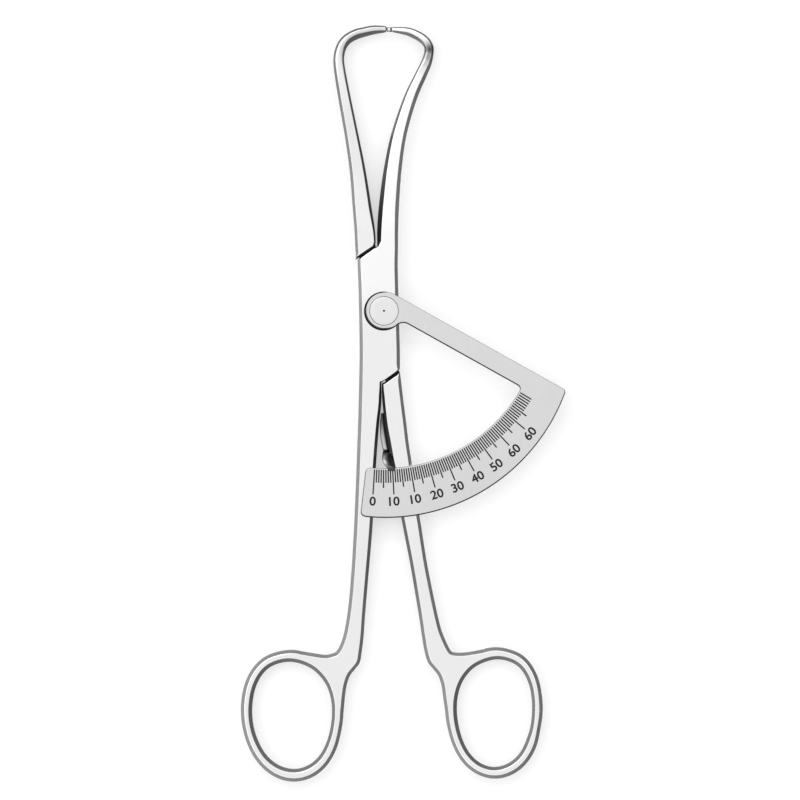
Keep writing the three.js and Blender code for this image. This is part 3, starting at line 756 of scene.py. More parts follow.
# Where the box gets painted shade: between these sides, near its front, and on what isn't flat; and the left jaw's tip
shadeZones = {"sides": (-12, 8), "notFlat": 0.97, "gapSlope": 0.8, "chamferSlope": 0.35, "chamferOver": 0.1, "hair": 0.01,
         "tipFrom": 80, "tipFacing": 0.45}


def onBox(x, z):
    return z > middle and shadeZones["sides"][0] < x < shadeZones["sides"][1]


# Front arm: left ring, left shank, box and right jaw in one forging
frontBox = {
    "left": [(1.05, 0.75), (1.02, 0.42), (0.985, -0.25), (0.975, -0.8)],
    "right": [(1.04, -0.7), (1, -0.3), (0.95, 0.2), (0.9, 0.75)],
    "cheekEdge": 0.22, "openingMargin": 1,
    "outerWidths": [(0, 0.95), (0.01, 1.05), (0.3, 1.2), (0.85, 1.15), (1, 1.15)],
    "holeWidths": [(0, 1.1), (0.25, 1.25), (0.5, 1.3), (0.75, 1.2), (1, 1.1)],
    "sideWidths": [(0, 0.85), (0.04, 1.15), (1, 1.15)],
    # Painted shade along the inner rim, darkest at the fork
    "innerShades": [(0, 0), (0.3, 0.1), (0.4, 0.3), (0.7, 0.5), (0.85, 0.9), (1, 0.98)],
    # Spots of painted dark reflection on the right jaw's bend
    "shadeSpots": [(14.2, 81.7, 2.5, 0.95), (13.6, 79.6, 2.3, 0.7), (12.7, 77.7, 2, 0.42), (11.6, 75.7, 2, 0.2)],
    "forkWidths": (0.3, 0.35), "endWidths": (0.85, 0.95), "edgeSoft": 0.07, "tipRadius": 0.55,
    # Reaches of painted shade at the fork and in the shoulder gap
    "forkShade": 1.1, "gapShadeReach": (-0.5, 0.2), "boreSides": 96,
    "groove": {"inner": 5.2, "outer": 6.1, "depth": 0.8, "shift": (-0.15, -0.06), "over": 0.05, "under": 0.02},
}


def makeFrontArm():
    onCheek = lambda normal, x: (x, lineAt(normal, cheekReach, x))
    upperLeft = onCheek(upperNormal, -joint["boxLeft"] * frontBox["left"][0][0])
    upperFork = onCheek(upperNormal, -rightJaw["rootSide"])
    lowerRight = onCheek(lowerNormal, joint["boxRight"] * frontBox["right"][0][0])
    leftSide = [(-joint["boxLeft"] * x, joint["shoulderReach"] * y) for x, y in frontBox["left"]]
    rightSide = [(joint["boxRight"] * x, joint["shoulderReach"] * y) for x, y in frontBox["right"]]
    handle = handleRims(leftHandle, [upperLeft] + leftSide, frontBox["outerWidths"], frontBox["innerShades"])
    edge = frontBox["cheekEdge"]
    fork = (frontInner, frontFork)

    # Cheek edges: painted shade runs from the fork's corner a short way along the chamfer
    def cheek(start, end, number, dark):
        widths = [(0, frontBox["forkWidths"][number]), (0.12, edge), (0.84, edge), (1, frontBox["endWidths"][number])]
        return rimOf(straight(start, end, 14), widths, [(0, frontBox["edgeSoft"]), (1, frontBox["edgeSoft"])],
                     [(0, dark), (0.1, 0.5), (0.15, 0), (1, 0)])

    lowerCheek = cheek(fork, lowerRight, 0, 0.98)
    tipEnd = jaws["tipSide"] + jaws["tipGap"] / 2 + jaws["stubLength"]
    inner, outer, spine = jawRails(rightJaw, tipEnd)
    jawStart = rightJaw["rows"][1][0] * jaws["reach"]
    outerKept, cap, innerKept = tipRims([row for row in outer if row[1] > jawStart],
                                        [row for row in inner if row[1] > upperFork[1] + 1],
                                        frontBox["tipRadius"])
    side = rimOf(curveThrough([lowerRight] + rightSide + [outerKept[0][:2]], 8), frontBox["sideWidths"],
                 [(0, 0.14), (1, 0.16)])
    upperCheek = cheek(upperFork, upperLeft, 1, 1)
    outline = joinRims(*handle, lowerCheek, side, outerKept, cap, innerKept[::-1], upperCheek)
    hole = holeRim(leftHandle, frontBox["holeWidths"])
    taper = handleHigh(leftHandle, joint["boxDepth"], -(rimRadius + scale["rimDrop"]))

    def highAt(x, y):
        if y > jawStart:
            return middle + depthOnSpine(spine, x, y) / 2
        return taper(y)

    def lowAt(x, y):
        return middle - depthOnSpine(spine, x, y) / 2 if y > jawStart else 0

    piece = forgedPiece("front_arm_steel", [outline, hole], lowAt, highAt)
    turn = turnAt(scale["lastMark"]) + frontBox["openingMargin"]
    wide, tall = 3 * joint["boxLeft"], 2 * joint["shoulderReach"]
    slot = prism("slot", [(-wide, -tall), (wide, -tall), (wide, tall), (-wide, tall)],
                 joint["cheekThickness"], joint["boxDepth"] - joint["cheekThickness"])
    for distance, lean in ((joint["tongueRight"], 0), (joint["tongueLeft"], 180)):
        lean += joint["tongueLean"]
        wall = prism("slot_wall", slotWallPoints(distance, lean, turn), 1, joint["boxDepth"] - 1)
        combine(slot, wall, "DIFFERENCE")
    combine(piece, slot, "DIFFERENCE")
    bore = joint["pinRadius"] + joint["pinFit"]
    seat = rivet["tailRadius"] + joint["pinFit"]
    tail = rivet["tailDepth"]
    drill = turnedPiece("drill", [(0, -1), (seat, -1), (seat, rivet["edge"]), (bore, tail), (bore, 9), (0, 9)],
                        frontBox["boreSides"])
    combine(piece, drill, "DIFFERENCE")
    groove = frontBox["groove"]
    floor = joint["boxDepth"] - groove["depth"]
    cutter = turnedPiece("groove", [(groove["inner"], floor), (groove["outer"], floor), (groove["outer"], floor + 3),
                                    (groove["inner"], floor + 3), (groove["inner"], floor)],
                         rivet["sides"])
    makeActive(cutter)
    bpy.ops.transform.translate(value=(groove["shift"][0] * mm, groove["shift"][1] * mm, 0))
    bpy.ops.object.transform_apply(location=True, rotation=True, scale=True)
    combine(piece, cutter, "DIFFERENCE")
    paintFlanks(piece, [outline, hole], frontBox["shadeSpots"])

    # Painted shade: the groove round the eye, the fork's flanks and the shoulder gap are made dark where shade falls
    def isSoiled(x, y, z, normal):
        reach = math.hypot(x - groove["shift"][0], y - groove["shift"][1])
        inRing = groove["inner"] - groove["over"] < reach < groove["outer"] + groove["over"]
        inGroove = inRing and z < joint["boxDepth"] - groove["under"]
        inFork = normal.z < shadeZones["notFlat"] and nearTo(x, y, (fork, upperFork), frontBox["forkShade"])
        inGap = onShoulder(x, y, normal, *(cheekReach + way for way in frontBox["gapShadeReach"]), shadeZones["gapSlope"])
        return onBox(x, z) and (inGroove or inFork or inGap)

    markSoiled(piece, isSoiled)
    return piece


frontArm = makeFrontArm()
print("front arm made:", len(frontArm.data.polygons), "faces")


# Rear arm: right ring and shank, thin tongue through the slot, and left jaw
rearBox = {
    # Painted shade: the shoulder gap's shade starts at this distance from the pivot
    "cheekEdge": 0.58, "sunk": 0.6, "close": 0.3, "closeLength": 13, "shadeFrom": 17.1,
    # The first entries are spots of painted dark reflection on the left jaw, and the reaches of painted shade at its
    # tip and the fork
    "shadeSpots": [(-14.2, 82.5, 3, 0.14), (-11, 86, 2.5, 0.1)], "tipShade": 0.45, "tipRadius": 0.7, "forkShade": 1.4,
    "clearShank": (1.6, 0.9), "clearShoulder": (0.6, 1.5), "clearRoot": (1.8, 0.3), "jawFrom": (1.5, 0.6),
    "rootEnd": (0.8, 0.4), "rootShare": 0.62, "shoulderShade": [(0, 0.98), (0.12, 0.3), (0.2, 0), (1, 0)],
    "tongueOver": 0.2, "gapOver": 0.05, "gapSides": 0.12,
    "outerWidths": [(0, 0.35), (0.03, 1.05), (0.5, 1.1), (1, 1.15)],
    "holeWidths": [(0, 1.3), (0.25, 1.2), (0.5, 1.1), (0.75, 1.15), (1, 1.3)],
    # Painted shade along the inner rim, darkest at the fork
    "innerShades": [(0, 0), (0.3, 0.2), (0.4, 0.45), (0.6, 0.55), (0.72, 0.85), (0.9, 0.97), (1, 0.98)],
}


def makeRearArm():
    reach = joint["shoulderReach"]
    lower = lambda x: (x, lineAt(lowerNormal, reach, x))
    upper = lambda x: (x, lineAt(upperNormal, reach, x))
    corner = lower(joint["boxRight"] * frontBox["right"][0][0])
    handle = handleRims(rightHandle, [corner], rearBox["outerWidths"], rearBox["innerShades"])
    edge = rearBox["cheekEdge"]
    soft = [(0, frontBox["edgeSoft"]), (1, frontBox["edgeSoft"])]
    fork = (rearInner, rearFork)
    # The shoulder's chamfer is painted with shade near the fork
    shoulder = rimOf(straight(fork, corner, 7), [(0, edge), (1, edge)], soft, rearBox["shoulderShade"])
    handle[0] = clearOf(handle[0], corner, rearBox["clearShank"][0])
    handle[2] = clearOf(handle[2], fork, rearBox["clearShank"][1])
    shoulder = clearOf(clearOf(shoulder, fork, rearBox["clearShoulder"][0]), corner, rearBox["clearShoulder"][1])
    close = lambda y: rearBox["close"] * eased(1 - (rearFork - y) / rearBox["closeLength"])
    handle[2] = [(row[0] - close(row[1]),) + row[1:] for row in handle[2]]
    shoulder[0] = (shoulder[0][0] - rearBox["close"],) + shoulder[0][1:]
    outline = joinRims(*handle, shoulder)[::-1]
    hole = holeRim(rightHandle, rearBox["holeWidths"])
    top = joint["boxDepth"] - joint["plateClearance"]
    taper = handleHigh(rightHandle, top, rearFork)
    piece = forgedPiece("rear_arm_steel", [outline, hole], lambda x, y: 0, lambda x, y: taper(y))

    inner, outer, spine = jawRails(leftJaw, jaws["tipSide"] - jaws["tipGap"] / 2)
    innerStart = upper(-leftJaw["rootSide"])
    outerAbove = [row for row in outer if row[1] > lineAt(upperNormal, reach, row[0]) + rearBox["jawFrom"][0]]
    firstOut = outerAbove[0]
    outerStart = upper(firstOut[0])
    innerAbove = []
    for x, y, width, soften, tone in inner:
        if y > innerStart[1] + rearBox["jawFrom"][1]:
            near = eased(1 - (y - innerStart[1]) / rearBox["closeLength"])
            width *= mix(1, rearBox["rootShare"], near)
            innerAbove.append((x + rearBox["close"] * near, y, width, soften, tone))
    innerStart = (innerStart[0] + rearBox["close"], innerStart[1])
    outerKept, cap, innerKept = tipRims(outerAbove, innerAbove, rearBox["tipRadius"])
    narrowFrom, narrow = rearBox["rootEnd"]
    root = rimOf(straight(outerStart, innerStart, 12), [(0, edge), (narrowFrom, edge), (1, narrow)], soft)
    root = clearOf(clearOf(root, outerStart, rearBox["clearRoot"][0]), innerStart, rearBox["clearRoot"][1])
    jawOutline = joinRims(root, innerKept, cap[::-1], outerKept[::-1])
    if not turnsLeft(jawOutline):
        jawOutline = jawOutline[::-1]
    jaw = forgedPiece("left_jaw", [jawOutline], lambda x, y: middle - depthOnSpine(spine, x, y) / 2,
                      lambda x, y: middle + depthOnSpine(spine, x, y) / 2)

    left = -(joint["boxLeft"] - joint["tongueInset"])
    right = joint["boxRight"] - joint["tongueInset"]
    rightNormal = heading(joint["tongueLean"])
    leftNormal = heading(joint["tongueLean"] + 180)
    sunk = rearBox["sunk"]
    pushed = lambda point, normal: (point[0] + normal[0] * sunk, point[1] + normal[1] * sunk)
    lowerInner = ((leftNormal[1] * reach - lowerNormal[1] * joint["tongueLeft"])
                  / (lowerNormal[0] * leftNormal[1] - leftNormal[0] * lowerNormal[1]))
    # The gaps at the shoulders stay closed out to the sides of the box
    atGap = lambda normal, x: (x, lineAt(normal, cheekReach + rearBox["gapOver"], x))
    inside = -leftJaw["rootSide"]
    closed = inside + rearBox["close"]
    farLeft, farRight = -joint["boxLeft"] + rearBox["gapSides"], joint["boxRight"] - rearBox["gapSides"]
    tongueOutline = [
        atGap(upperNormal, inside - rearBox["tongueOver"]), atGap(upperNormal, closed), upper(closed),
        pushed(upper(closed), upperNormal),
        pushed(upper(farLeft), upperNormal), upper(farLeft), atGap(upperNormal, farLeft), atGap(upperNormal, left),
        (left, lineAt(leftNormal, joint["tongueLeft"], left)),
        lower(lowerInner), pushed(lower(lowerInner), lowerNormal), pushed(lower(farRight), lowerNormal),
        lower(farRight), atGap(lowerNormal, farRight), atGap(lowerNormal, right),
        (right, lineAt(rightNormal, joint["tongueRight"], right)),
    ]
    low = joint["cheekThickness"] + joint["faceClearance"]
    tongue = prism("tongue", tongueOutline, low, joint["boxDepth"] - low)
    bore = joint["pinRadius"] + joint["pinRunning"]
    combine(tongue, turnedPiece("drill", [(0, 0), (bore, 0), (bore, joint["boxDepth"]), (0, joint["boxDepth"])],
                                frontBox["boreSides"]), "DIFFERENCE")
    makeActive(tongue)
    bpy.ops.object.mode_set(mode="EDIT")
    # The tongue is split where its painted shade begins
    for way in (upperNormal, lowerNormal):
        bpy.ops.mesh.select_all(action="SELECT")
        bpy.ops.mesh.bisect(plane_co=(way[0] * rearBox["shadeFrom"] * mm, way[1] * rearBox["shadeFrom"] * mm, 0),
                            plane_no=(way[0], way[1], 0))
    bpy.ops.object.mode_set(mode="OBJECT")
    combine(piece, jaw, "UNION")
    combine(piece, tongue, "UNION")
    paintFlanks(piece, [outline, hole, jawOutline], rearBox["shadeSpots"])

    # Painted shade: the tongue's faces in the slot, the fork's flanks, the shoulder chamfers and the left jaw's tip
    # end are made dark
    def isSoiled(x, y, z, normal):
        inSlot = low - shadeZones["hair"] < z < joint["boxDepth"] - low + shadeZones["hair"]
        inFork = 0 < normal.z < shadeZones["notFlat"] and nearTo(x, y, (fork, innerStart), rearBox["forkShade"])
        onEnd = x > jaws["tipSide"] - jaws["tipGap"] / 2 - rearBox["tipShade"] and normal.x > shadeZones["tipFacing"]
        atTip = y > shadeZones["tipFrom"] and onEnd
        inGap = inSlot and onShoulder(x, y, normal, rearBox["shadeFrom"], reach + shadeZones["hair"], 0)
        over = shadeZones["chamferOver"]
        onChamfer = onShoulder(x, y, normal, reach - over, reach + edge + over, shadeZones["chamferSlope"])
        return atTip or inGap or (onBox(x, z) and (inFork or onChamfer))

    markSoiled(piece, isSoiled)
    return piece


rearArm = makeRearArm()
print("rear arm made:", len(rearArm.data.polygons), "faces")


# Round measuring stub on the right jaw's tip, lying along X
stub = {
    "early": 0.23, "gapShade": (0.11, 0.87), "sides": 40,
    "profile": [(0, 0), (0.62, 0), (0.74, 0.06), (0.8, 0.18), (0.8, 1.1), (0.72, 1.18), (0.72, 1.9), (0, 1.9)],
}


def makeStub():
    piece = turnedPiece("measuring_stub", stub["profile"], stub["sides"])
    makeActive(piece)
    height = rightJaw["tipReach"] * jaws["reach"] + rightJaw["tipWidth"] * jaws["root"] / 2
    bpy.ops.transform.rotate(value=math.radians(-90), orient_axis="Y", center_override=(0, 0, 0))
    end = jaws["tipSide"] + jaws["tipGap"] / 2
    bpy.ops.transform.translate(value=((end - stub["early"]) * mm, height * mm, middle * mm))
    bpy.ops.object.transform_apply(location=True, rotation=True, scale=True)
    # Both ends of the stub are painted with shade, as dark seams
    markSoiled(piece, lambda x, y, z, normal: x < end + stub["gapShade"][0] or x > end + stub["gapShade"][1])
    return piece


measuringStub = makeStub()
print("stub made:", len(measuringStub.data.polygons), "faces")


# Rivet: closed tail, pin, and a countersunk head flush with the plate, with a centre dimple
def makeRivet():
    top, foot = scale["headTop"], scale["headFoot"]
    edge = rivet["edge"]
    profile = [
        (0, 0), (rivet["tailRadius"] - edge, 0), (rivet["tailRadius"], edge),
        (joint["pinRadius"], rivet["tailDepth"]), (joint["pinRadius"], plateBack),
        (foot, plateBack), (top - 0.03, plateFront - edge * 1.6), (top - edge * 0.5, plateFront - edge * 0.7),
        (top - edge * 1.6, plateFront - edge * 0.1), (top - edge * 3, plateFront),
        (top * 0.6, plateFront), (top * 0.3, plateFront),
        (rivet["dimpleRadius"] * 1.1, plateFront), (rivet["dimpleRadius"], plateFront - 0.02),
        (rivet["dimpleRadius"] * 0.55, plateFront - rivet["dimpleDepth"] * 0.75),
        (0, plateFront - rivet["dimpleDepth"]),
    ]
    piece = turnedPiece("rivet_steel", profile, rivet["sides"])
    # The dimple and the head's rounded side are painted with shade
    markSoiled(piece, lambda x, y, z, normal: z > plateBack
               and (math.hypot(x, y) < rivet["dimpleRadius"] * 1.2 or abs(normal.z) < 0.9))
    return piece


pivotRivet = makeRivet()


# Scale plate: eye, arm and graduated arc
plate = {"edgeSoft": 0.04, "wallRound": 0.03, "eyeSteps": 80, "eyeEnds": 0.16, "lowSide": 0.6, "smoothAngle": 8}


def arcPoints(centre, radius, start, stop, steps):
    points = []
    for step in range(steps + 1):
        angle = math.radians(mix(start, stop, step / steps))
        points.append((centre[0] + radius * math.cos(angle), centre[1] + radius * math.sin(angle)))
    return points


def towards(start, end, length):
    whole = math.hypot(end[0] - start[0], end[1] - start[1])
    return (mix(start[0], end[0], length / whole), mix(start[1], end[1], length / whole))


def plateOutline():
    startAngle = scale["zeroAngle"] + turnAt(scale["firstMark"]) - scale["firstMargin"]
    endAngle = scale["zeroAngle"] + turnAt(scale["lastMark"]) + scale["lastMargin"]
    along, square = heading(endAngle - 90), heading(endAngle)
    centre = (scale["rimShift"], -scale["rimDrop"])

    def toRim(start, way):
        offX, offY = start[0] - centre[0], start[1] - centre[1]
        half = offX * way[0] + offY * way[1]
        return -half + math.sqrt(half * half - offX * offX - offY * offY + rimRadius * rimRadius)

    def rimAngle(point):
        return math.degrees(math.atan2(point[1] - centre[1], point[0] - centre[0]))

    tangent = (square[0] * scale["eyeRadius"], square[1] * scale["eyeRadius"])
    reach = toRim(tangent, along)
    rimEnd = (tangent[0] + along[0] * reach, tangent[1] + along[1] * reach)
    down = heading(startAngle - 90)
    reach = toRim((0, 0), down)
    rimStart = (down[0] * reach, down[1] * reach)
    inner = scale["arcInner"]
    arcStart = (down[0] * inner, down[1] * inner)
    arcEnd = (along[0] * inner, along[1] * inner)
    rim = arcPoints(centre, rimRadius, rimAngle(rimEnd) - math.degrees(scale["rimCorner"] / rimRadius),
                    rimAngle(rimStart) + math.degrees(scale["endCorner"] / rimRadius), 84)
    graduated = arcPoints((0, 0), inner, startAngle - 90 + math.degrees(scale["endCorner"] / inner),
                          endAngle - 90 - math.degrees(scale["armCorner"] / inner), 72)
    eye, fillet = scale["eyeRadius"], scale["eyeFillet"]
    way = math.sqrt((eye + fillet) ** 2 - fillet ** 2)
    filletCentre = (along[0] * way - square[0] * fillet, along[1] * way - square[1] * fillet)
    bend = math.degrees(math.atan2(fillet, way))
    armTurn = endAngle - 90
    filletArc = arcPoints(filletCentre, fillet, armTurn + 90, armTurn + 180 - bend, 10)
    eyeArc = []
    for step in range(plate["eyeSteps"] + 1):
        share = step / plate["eyeSteps"]
        trimmed = eye - scale["eyeTrim"] * eased(share / plate["eyeEnds"]) * eased((1 - share) / plate["eyeEnds"])
        spoke = heading(mix(armTurn - bend, armTurn - 270, share))
        eyeArc.append((spoke[0] * trimmed, spoke[1] * trimmed))
    upperArm = straight(tangent, towards(rimEnd, tangent, scale["rimCorner"]), 40)
    startEdge = straight(towards(rimStart, arcStart, scale["endCorner"]),
                         towards(arcStart, rimStart, scale["endCorner"]), 8)
    lowerArm = straight(towards(arcEnd, (0, 0), scale["armCorner"]), filletArc[0], 30)
    return (upperArm + roundedEnd(upperArm[-1], rimEnd, rim[0], 6) + rim
            + roundedEnd(rim[-1], rimStart, startEdge[0], 8) + startEdge
            + roundedEnd(startEdge[-1], arcStart, graduated[0], 8) + graduated
            + roundedEnd(graduated[-1], arcEnd, lowerArm[0], 6) + lowerArm + filletArc + eyeArc)


# Edges that face down the handles are filed wider and painted with more shade than those that face the tips
def makePlate():
    outline = joinRims(rimOf(plateOutline(), [(0, 0), (1, 0)], [(0, plate["edgeSoft"]), (1, plate["edgeSoft"])]))
    if not turnsLeft(outline):
        outline = outline[::-1]
    filed = []
    for row, (wayX, wayY) in zip(outline, inwards(outline)):
        lowSide = clamped(0.5 + plate["lowSide"] * wayY)
        filed.append(row[:2] + (mix(*scale["edges"], lowSide), row[3], mix(*scale["edgeShade"], lowSide)))
    outline = filed
    top, foot = scale["headTop"] + scale["headFit"], scale["headFoot"] + scale["headFit"]
    piece = forgedPiece("plate_steel", [outline], lambda x, y: plateBack, lambda x, y: plateFront,
                        wallRound=plate["wallRound"])
    slope = (top - foot) / scale["thickness"]
    sink = turnedPiece("sink", [(0, plateBack - 1), (foot - slope, plateBack - 1), (top + slope, plateFront + 1),
                                (0, plateFront + 1)], rivet["sides"])
    combine(piece, sink, "DIFFERENCE")
    paintFlanks(piece, [outline])
    # The countersink's wall is painted with shade
    markSoiled(piece, lambda x, y, z, normal: math.hypot(x, y) < top + 0.02 and z < plateFront - 0.01)
    return piece


scalePlate = makePlate()
print("plate made")


# Marks: one bar for each step of the reading, modelled once and copied, filled with black and a hair proud.
# As in the photograph, there are eight steps to ten, and 10 and 60 stand twice
ink = {
    "proud": 0.02, "sunk": 0.06, "step": 1.25, "last": 82.5, "lastLong": 70, "width": 0.42, "edge": 0.02,
    "digitHeight": 2.75, "capShare": 0.72, "digitWiden": 1.07, "digitRing": 59.45, "bold": 0.09,
    "labels": [0, 10, 10, 20, 30, 40, 50, 60, 60],
}


def joinInto(name, parts):
    deselectAll()
    for part in parts:
        part.select_set(True)
    bpy.context.view_layer.objects.active = parts[0]
    bpy.ops.object.join()
    parts[0].name = name
    return parts[0]


def makeMarks():
    deselectAll()
    low, high = plateFront - ink["sunk"], plateFront + ink["proud"]
    bpy.ops.mesh.primitive_cube_add(size=mm, location=(0, 0, (low + high) / 2 * mm),
                                    scale=(ink["width"], 1, high - low))
    model = bpy.context.object
    bpy.ops.object.transform_apply(location=True, rotation=True, scale=True)
    bpy.ops.object.mode_set(mode="EDIT")
    bpy.ops.mesh.select_all(action="SELECT")
    bpy.ops.mesh.bevel(offset=ink["edge"] * mm, segments=1)
    bpy.ops.object.mode_set(mode="OBJECT")
    parts = []
    for count in range(round((ink["last"] - scale["firstMark"]) / ink["step"]) + 1):
        reading = scale["firstMark"] + ink["step"] * count
        kind = 2 if reading % 10 == 0 and reading <= ink["lastLong"] else 1 if reading % 10 == 5 else 0
        length = scale["marks"][kind]
        bar = model.copy()
        bar.data = model.data.copy()
        bpy.context.scene.collection.objects.link(bar)
        for vertex in bar.data.vertices:
            vertex.co.y = vertex.co.y * length - (scale["arcInner"] + scale["markInset"] + length / 2) * mm
        bar.rotation_euler.z = math.radians(scale["zeroAngle"] + turnAt(reading))
        makeActive(bar)
        bpy.ops.object.transform_apply(location=True, rotation=True, scale=True)
        parts.append(bar)
    bpy.data.objects.remove(model)
    return joinInto("scale_marks", parts)


def makeNumerals():
    parts = []
    for index, label in enumerate(ink["labels"]):
        deselectAll()
        bpy.ops.object.text_add(location=(0, 0, 0))
        words = bpy.context.object
        words.data.body = str(label)
        words.data.align_x = "CENTER"
        words.data.align_y = "CENTER"
        words.data.size = ink["digitHeight"] / ink["capShare"] * mm
        words.data.extrude = ink["sunk"] / 2 * mm
        words.data.bevel_depth = ink["bold"] * mm
        words.data.bevel_resolution = 0
        words.data.resolution_u = 6
        bpy.ops.object.convert(target="MESH")
        words = bpy.context.object
        bpy.ops.object.mode_set(mode="EDIT")
        bpy.ops.mesh.select_all(action="SELECT")
        bpy.ops.mesh.remove_doubles(threshold=weld)
        bpy.ops.object.mode_set(mode="OBJECT")
        angle = math.radians(scale["zeroAngle"] + turnAt(scale["firstMark"] + 10 * index))
        centreX = sum(corner[0] for corner in words.bound_box) / 8
        centreY = sum(corner[1] for corner in words.bound_box) / 8
        for vertex in words.data.vertices:
            vertex.co.x = (vertex.co.x - centreX) * ink["digitWiden"]
            vertex.co.y -= centreY + ink["digitRing"] * mm
            vertex.co.z += (plateFront + ink["proud"] / 2 - ink["sunk"] / 2) * mm
        words.rotation_euler.z = angle
        bpy.ops.object.transform_apply(location=True, rotation=True, scale=True)
        parts.append(words)
    return joinInto("scale_numerals", parts)


scaleMarks = makeMarks()
scaleNumerals = makeNumerals()
print("marks and numerals made")


# Index pointer: a bowed leaf between the shanks, a step, and a tip over the graduated edge.
# Rows: y, left x, right x, height at the left, fall to the right, thickness.
# Painted shade and painted dark reflection on it: one table runs across it from the left, and one runs along it
pointer = {
    "rows": [
        (-31.85, -0.95, -0.1, 4.6, 0.1, 0.7),
        (-35.5, -1.3, 0.6, 4.7, 0.5, 0.8),
        (-39.5, -1.1, 1.55, 4.8, 0.9, 0.9),
        (-42.6, -0.58, 2.15, 4.9, 1.1, 0.9),
        (-43.6, -0.3, 2.2, 5.1, 1.0, 0.9),
        (-44.3, -0.45, 2.3, 6.3, 1.1, 0.9),
        (-46.2, -0.6, 2.7, 7.5, 1.3, 0.8),
        (-47.6, -0.2, 3.1, 8.1, 1.0, 0.6),
        (-48.7, 0.7, 3.4, 8.45, 0.2, 0.45),
        (-49.95, 1.6, 3.6, 8.5, 0.15, 0.45),
    ],
    "across": 10, "steps": 6, "edge": 0.12,
    "skin": [(0, 0.9), (0.08, 0.9), (0.14, 0.15), (0.3, 0.3), (0.5, 0.7), (0.62, 0.92), (1, 0.98)],
    "bendShade": [(-31.8, 0.97), (-34.5, 0.88), (-38, 0.5), (-40.5, 0.1), (-42.9, 0.05), (-43.3, 0.95), (-44.3, 0.75),
              (-45.3, 0.25), (-47.2, 0.35), (-48.3, 0.85), (-50, 0.97)],
}


def makePointer():
    line = curveThrough(pointer["rows"], pointer["steps"])
    bendShade = [(-y, tone) for y, tone in pointer["bendShade"]]
    sections, sectionTones = [], []
    for y, left, right, height, fall, thick in line:
        top, bottom, tones = [], [], []
        for step in range(pointer["across"] + 1):
            share = step / pointer["across"]
            x = mix(left, right, share)
            bow = height - fall * share * share
            corner = min(share, 1 - share) * pointer["across"]
            edge = pointer["edge"] * (1 - clamped(corner)) ** 2
            top.append((x, y, bow - edge))
            bottom.append((x, y, bow - thick + edge))
            tones.append(max(tableAt(pointer["skin"], share), tableAt(bendShade, -y)))
        sections.append(top + bottom[::-1])
        sectionTones.append(tones + tones[::-1])
    piece, rings = startRings("pointer_steel", [sections[0]])
    first = rings
    toneAt = dict(zip(rings[0], sectionTones[0]))
    for section, tones in zip(sections[1:], sectionTones[1:]):
        rings = extrudeRings(piece, rings, [section])
        toneAt.update(zip(rings[0], tones))
    closeRings(piece, first)
    closeRings(piece, rings)
    finishMesh(piece)
    layer = piece.data.attributes.new("flank", "FLOAT", "POINT")
    layer.data.foreach_set("value", [toneAt[index] for index in range(len(piece.data.vertices))])
    return piece


indexPointer = makePointer()
print("pointer made")


# Materials: an input that is given a socket is linked, any other value is set on it

def feed(tree, node, inputs):
    for name, value in inputs.items():
        if isinstance(value, bpy.types.NodeSocket):
            tree.links.new(value, node.inputs[name])
        else:
            node.inputs[name].default_value = value


def addNode(tree, kind, place, inputs, **settings):
    node = tree.nodes.new("ShaderNode" + kind)
    node.location = place
    for name, value in settings.items():
        setattr(node, name, value)
    feed(tree, node, inputs)
    return node


def mixed(tree, place, share, start, end):
    return addNode(tree, "Mix", place, {"Factor": share, 6: start, 7: end}, data_type="RGBA").outputs[2]


def fromTo(ends, unit=1):
    return {"From Min": ends[0] * unit, "From Max": ends[1] * unit}


def newMaterial(name):
    material = bpy.data.materials.new(name)
    material.use_nodes = True
    return material, material.node_tree, material.node_tree.nodes["Principled BSDF"]


def newGroup(name, inputs, outputs):
    group = bpy.data.node_groups.new(name, "ShaderNodeTree")
    for label, kind, value in inputs:
        socket = group.interface.new_socket(name=label, in_out="INPUT", socket_type="NodeSocket" + kind)
        if value is not None:
            socket.default_value = value
    for label, kind in outputs:
        group.interface.new_socket(name=label, in_out="OUTPUT", socket_type="NodeSocket" + kind)
    start = group.nodes.new("NodeGroupInput")
    end = group.nodes.new("NodeGroupOutput")
    start.location = (-900, 0)
    end.location = (700, 0)
    return group, start.outputs, end


# Satin steel: cloudy polish, fine grain along the arm, and hair scratches that lie across it
finish = {
    "cloudScale": 60.0, "cloudFrom": (0.35, 0.65), "cloudRough": -0.04,
    "grainStretch": (2400, 160, 2400), "grainRough": 0.1,
    "hairStretch": (2600, 110, 2600), "hairTurn": (0, 0, 0.6), "hairFrom": (0.66, 0.74),
    "hairRough": 0.08, "hairDepth": -0.25,
    "bumpDistance": 0.00002,
}


